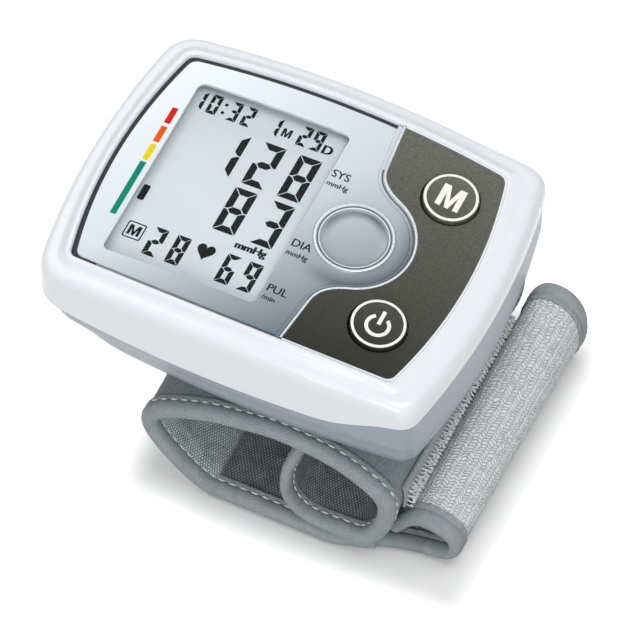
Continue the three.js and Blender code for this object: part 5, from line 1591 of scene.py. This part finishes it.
class MONITOR_OT_stage(bpy.types.Operator):
    """Adds the floor, the lights and the camera"""

    bl_idname = "monitor.stage"
    bl_label = "Stage"

    floor_height = -0.3
    # The cuff's footprint on the floor: its middle, and half its length and depth
    footprint, footprint_half = (5.5, 0, 0), (30, 29, 1000)

    def execute(self, context):
        self.floor()
        self.sky(context.scene)
        self.lamps()
        self.camera(context.scene)
        context.scene.view_settings.view_transform = "Standard"
        return {"FINISHED"}

    def floor(self):
        place = (0, 0, self.floor_height * MM)
        floor = added("floor", bpy.ops.mesh.primitive_plane_add, size=6, location=place)
        paper = Paint("white_paper")
        rays = paper.add("LightPath").outputs
        direct = paper.number("MAXIMUM", rays["Is Camera Ray"], rays["Is Glossy Ray"])
        seen = paper.number("MAXIMUM", direct, rays["Is Transmission Ray"])
        # Seen as white, but throws less light back up at the cuff's underside
        mottle = paper.spread(paper.grains(4), 0.86, 0.88)
        tone = paper.number("MULTIPLY", mottle, paper.spread(seen, 0.5, 1.0))
        # Painted light: the floor glows brighter past the cuff's footprint, so that the shadow stays close to
        # it
        middle, half = (Vector(size) * MM for size in (self.footprint, self.footprint_half))
        apart = paper.vector("ABSOLUTE", paper.vector("SUBTRACT", paper.place, middle))
        outside = paper.vector("MAXIMUM", paper.vector("SUBTRACT", apart, half), (0, 0, 0))
        level = paper.spread(paper.vector("LENGTH", outside), 0.03, 0.6, 0, 9 * MM, smooth=True)
        glow = {"Emission Color": WHITE, "Emission Strength": paper.number("MULTIPLY", seen, level)}
        floor.data.materials.append(paper.done(tone, 0.9, {"Specular IOR Level": 0.0, **glow}))

    def sky(self, scene):
        world = scene.world or bpy.data.worlds.new("Studio")
        scene.world = world
        world.use_nodes = True
        world.node_tree.nodes.clear()
        sky = Nodes(world.node_tree)
        rays = sky.add("LightPath").outputs
        seen = sky.number("MAXIMUM", rays["Is Camera Ray"], rays["Is Transmission Ray"])
        light = sky.add("Background", {"Color": WHITE, "Strength": sky.spread(seen, 0.48, 1.0)})
        sky.add("OutputWorld", {"Surface": light.outputs["Background"]})

    def aimed(self, piece, way):
        piece.rotation_mode = "QUATERNION"
        piece.rotation_quaternion = way.to_track_quat("-Z", "Y")
        return piece

    def lamps(self):
        aim, size = Vector((0, 0, 0.04)), 0.6
        for name, place, power in (
            ("key", Vector((0.25, 0.05, 1.0)), 3.2),
            ("fill", Vector((0.2, -0.92, 0.5)), 4.7),
            ("rim", Vector((-0.55, 0.4, 0.8)), 2.0),
        ):
            lamp = added(name, bpy.ops.object.light_add, type="AREA", location=place)
            lamp.data.size, lamp.data.energy = size, power
            self.aimed(lamp, aim - place)

    def camera(self, scene):
        # A long lens, as far away as the photograph's perspective asks
        azimuth, elevation, distance = math.radians(25.707), math.radians(55.895), 1.631861
        level = math.cos(elevation)
        back = Vector((math.sin(azimuth) * level, -math.cos(azimuth) * level, math.sin(elevation)))
        aim = Vector((0.004764, -0.019148, 0.0562))
        camera = added("Camera", bpy.ops.object.camera_add, location=aim + back * distance)
        camera.data.sensor_width, camera.data.lens, camera.data.clip_end = 36, 506.25, 20
        scene.camera = self.aimed(camera, -back)


STEPS = (
    MONITOR_OT_case,
    MONITOR_OT_face,
    MONITOR_OT_display,
    MONITOR_OT_buttons,
    MONITOR_OT_cuff,
    MONITOR_OT_strap,
    MONITOR_OT_inside,
    MONITOR_OT_stage,
)


class MONITOR_PT_panel(bpy.types.Panel):
    """Lists the settings and the steps that build the monitor"""

    bl_idname = "MONITOR_PT_panel"
    bl_label = "Blood Pressure Monitor"
    bl_space_type = "VIEW_3D"
    bl_region_type = "UI"
    bl_category = "Monitor"

    def draw(self, context):
        scene = context.scene
        for step in STEPS:
            self.layout.operator(step.bl_idname)
        for settings in (scene.monitor_case, scene.monitor_display, scene.monitor_cuff):
            column = self.layout.column()
            for name in settings.__annotations__:
                column.prop(settings, name)


GROUPS = {
    "monitor_case": MonitorCaseSettings,
    "monitor_display": MonitorDisplaySettings,
    "monitor_cuff": MonitorCuffSettings,
}
CLASSES = (*GROUPS.values(), *STEPS, MONITOR_PT_panel)


def register():
    for cls in CLASSES:
        bpy.utils.register_class(cls)
    for name, group in GROUPS.items():
        setattr(bpy.types.Scene, name, bpy.props.PointerProperty(type=group))


def unregister():
    for name in GROUPS:
        delattr(bpy.types.Scene, name)
    for cls in reversed(CLASSES):
        bpy.utils.unregister_class(cls)


def main():
    register()
    for step in STEPS:
        family, name = step.bl_idname.split(".")
        getattr(getattr(bpy.ops, family), name)()
    begin()


if __name__ == "__main__":
    main()
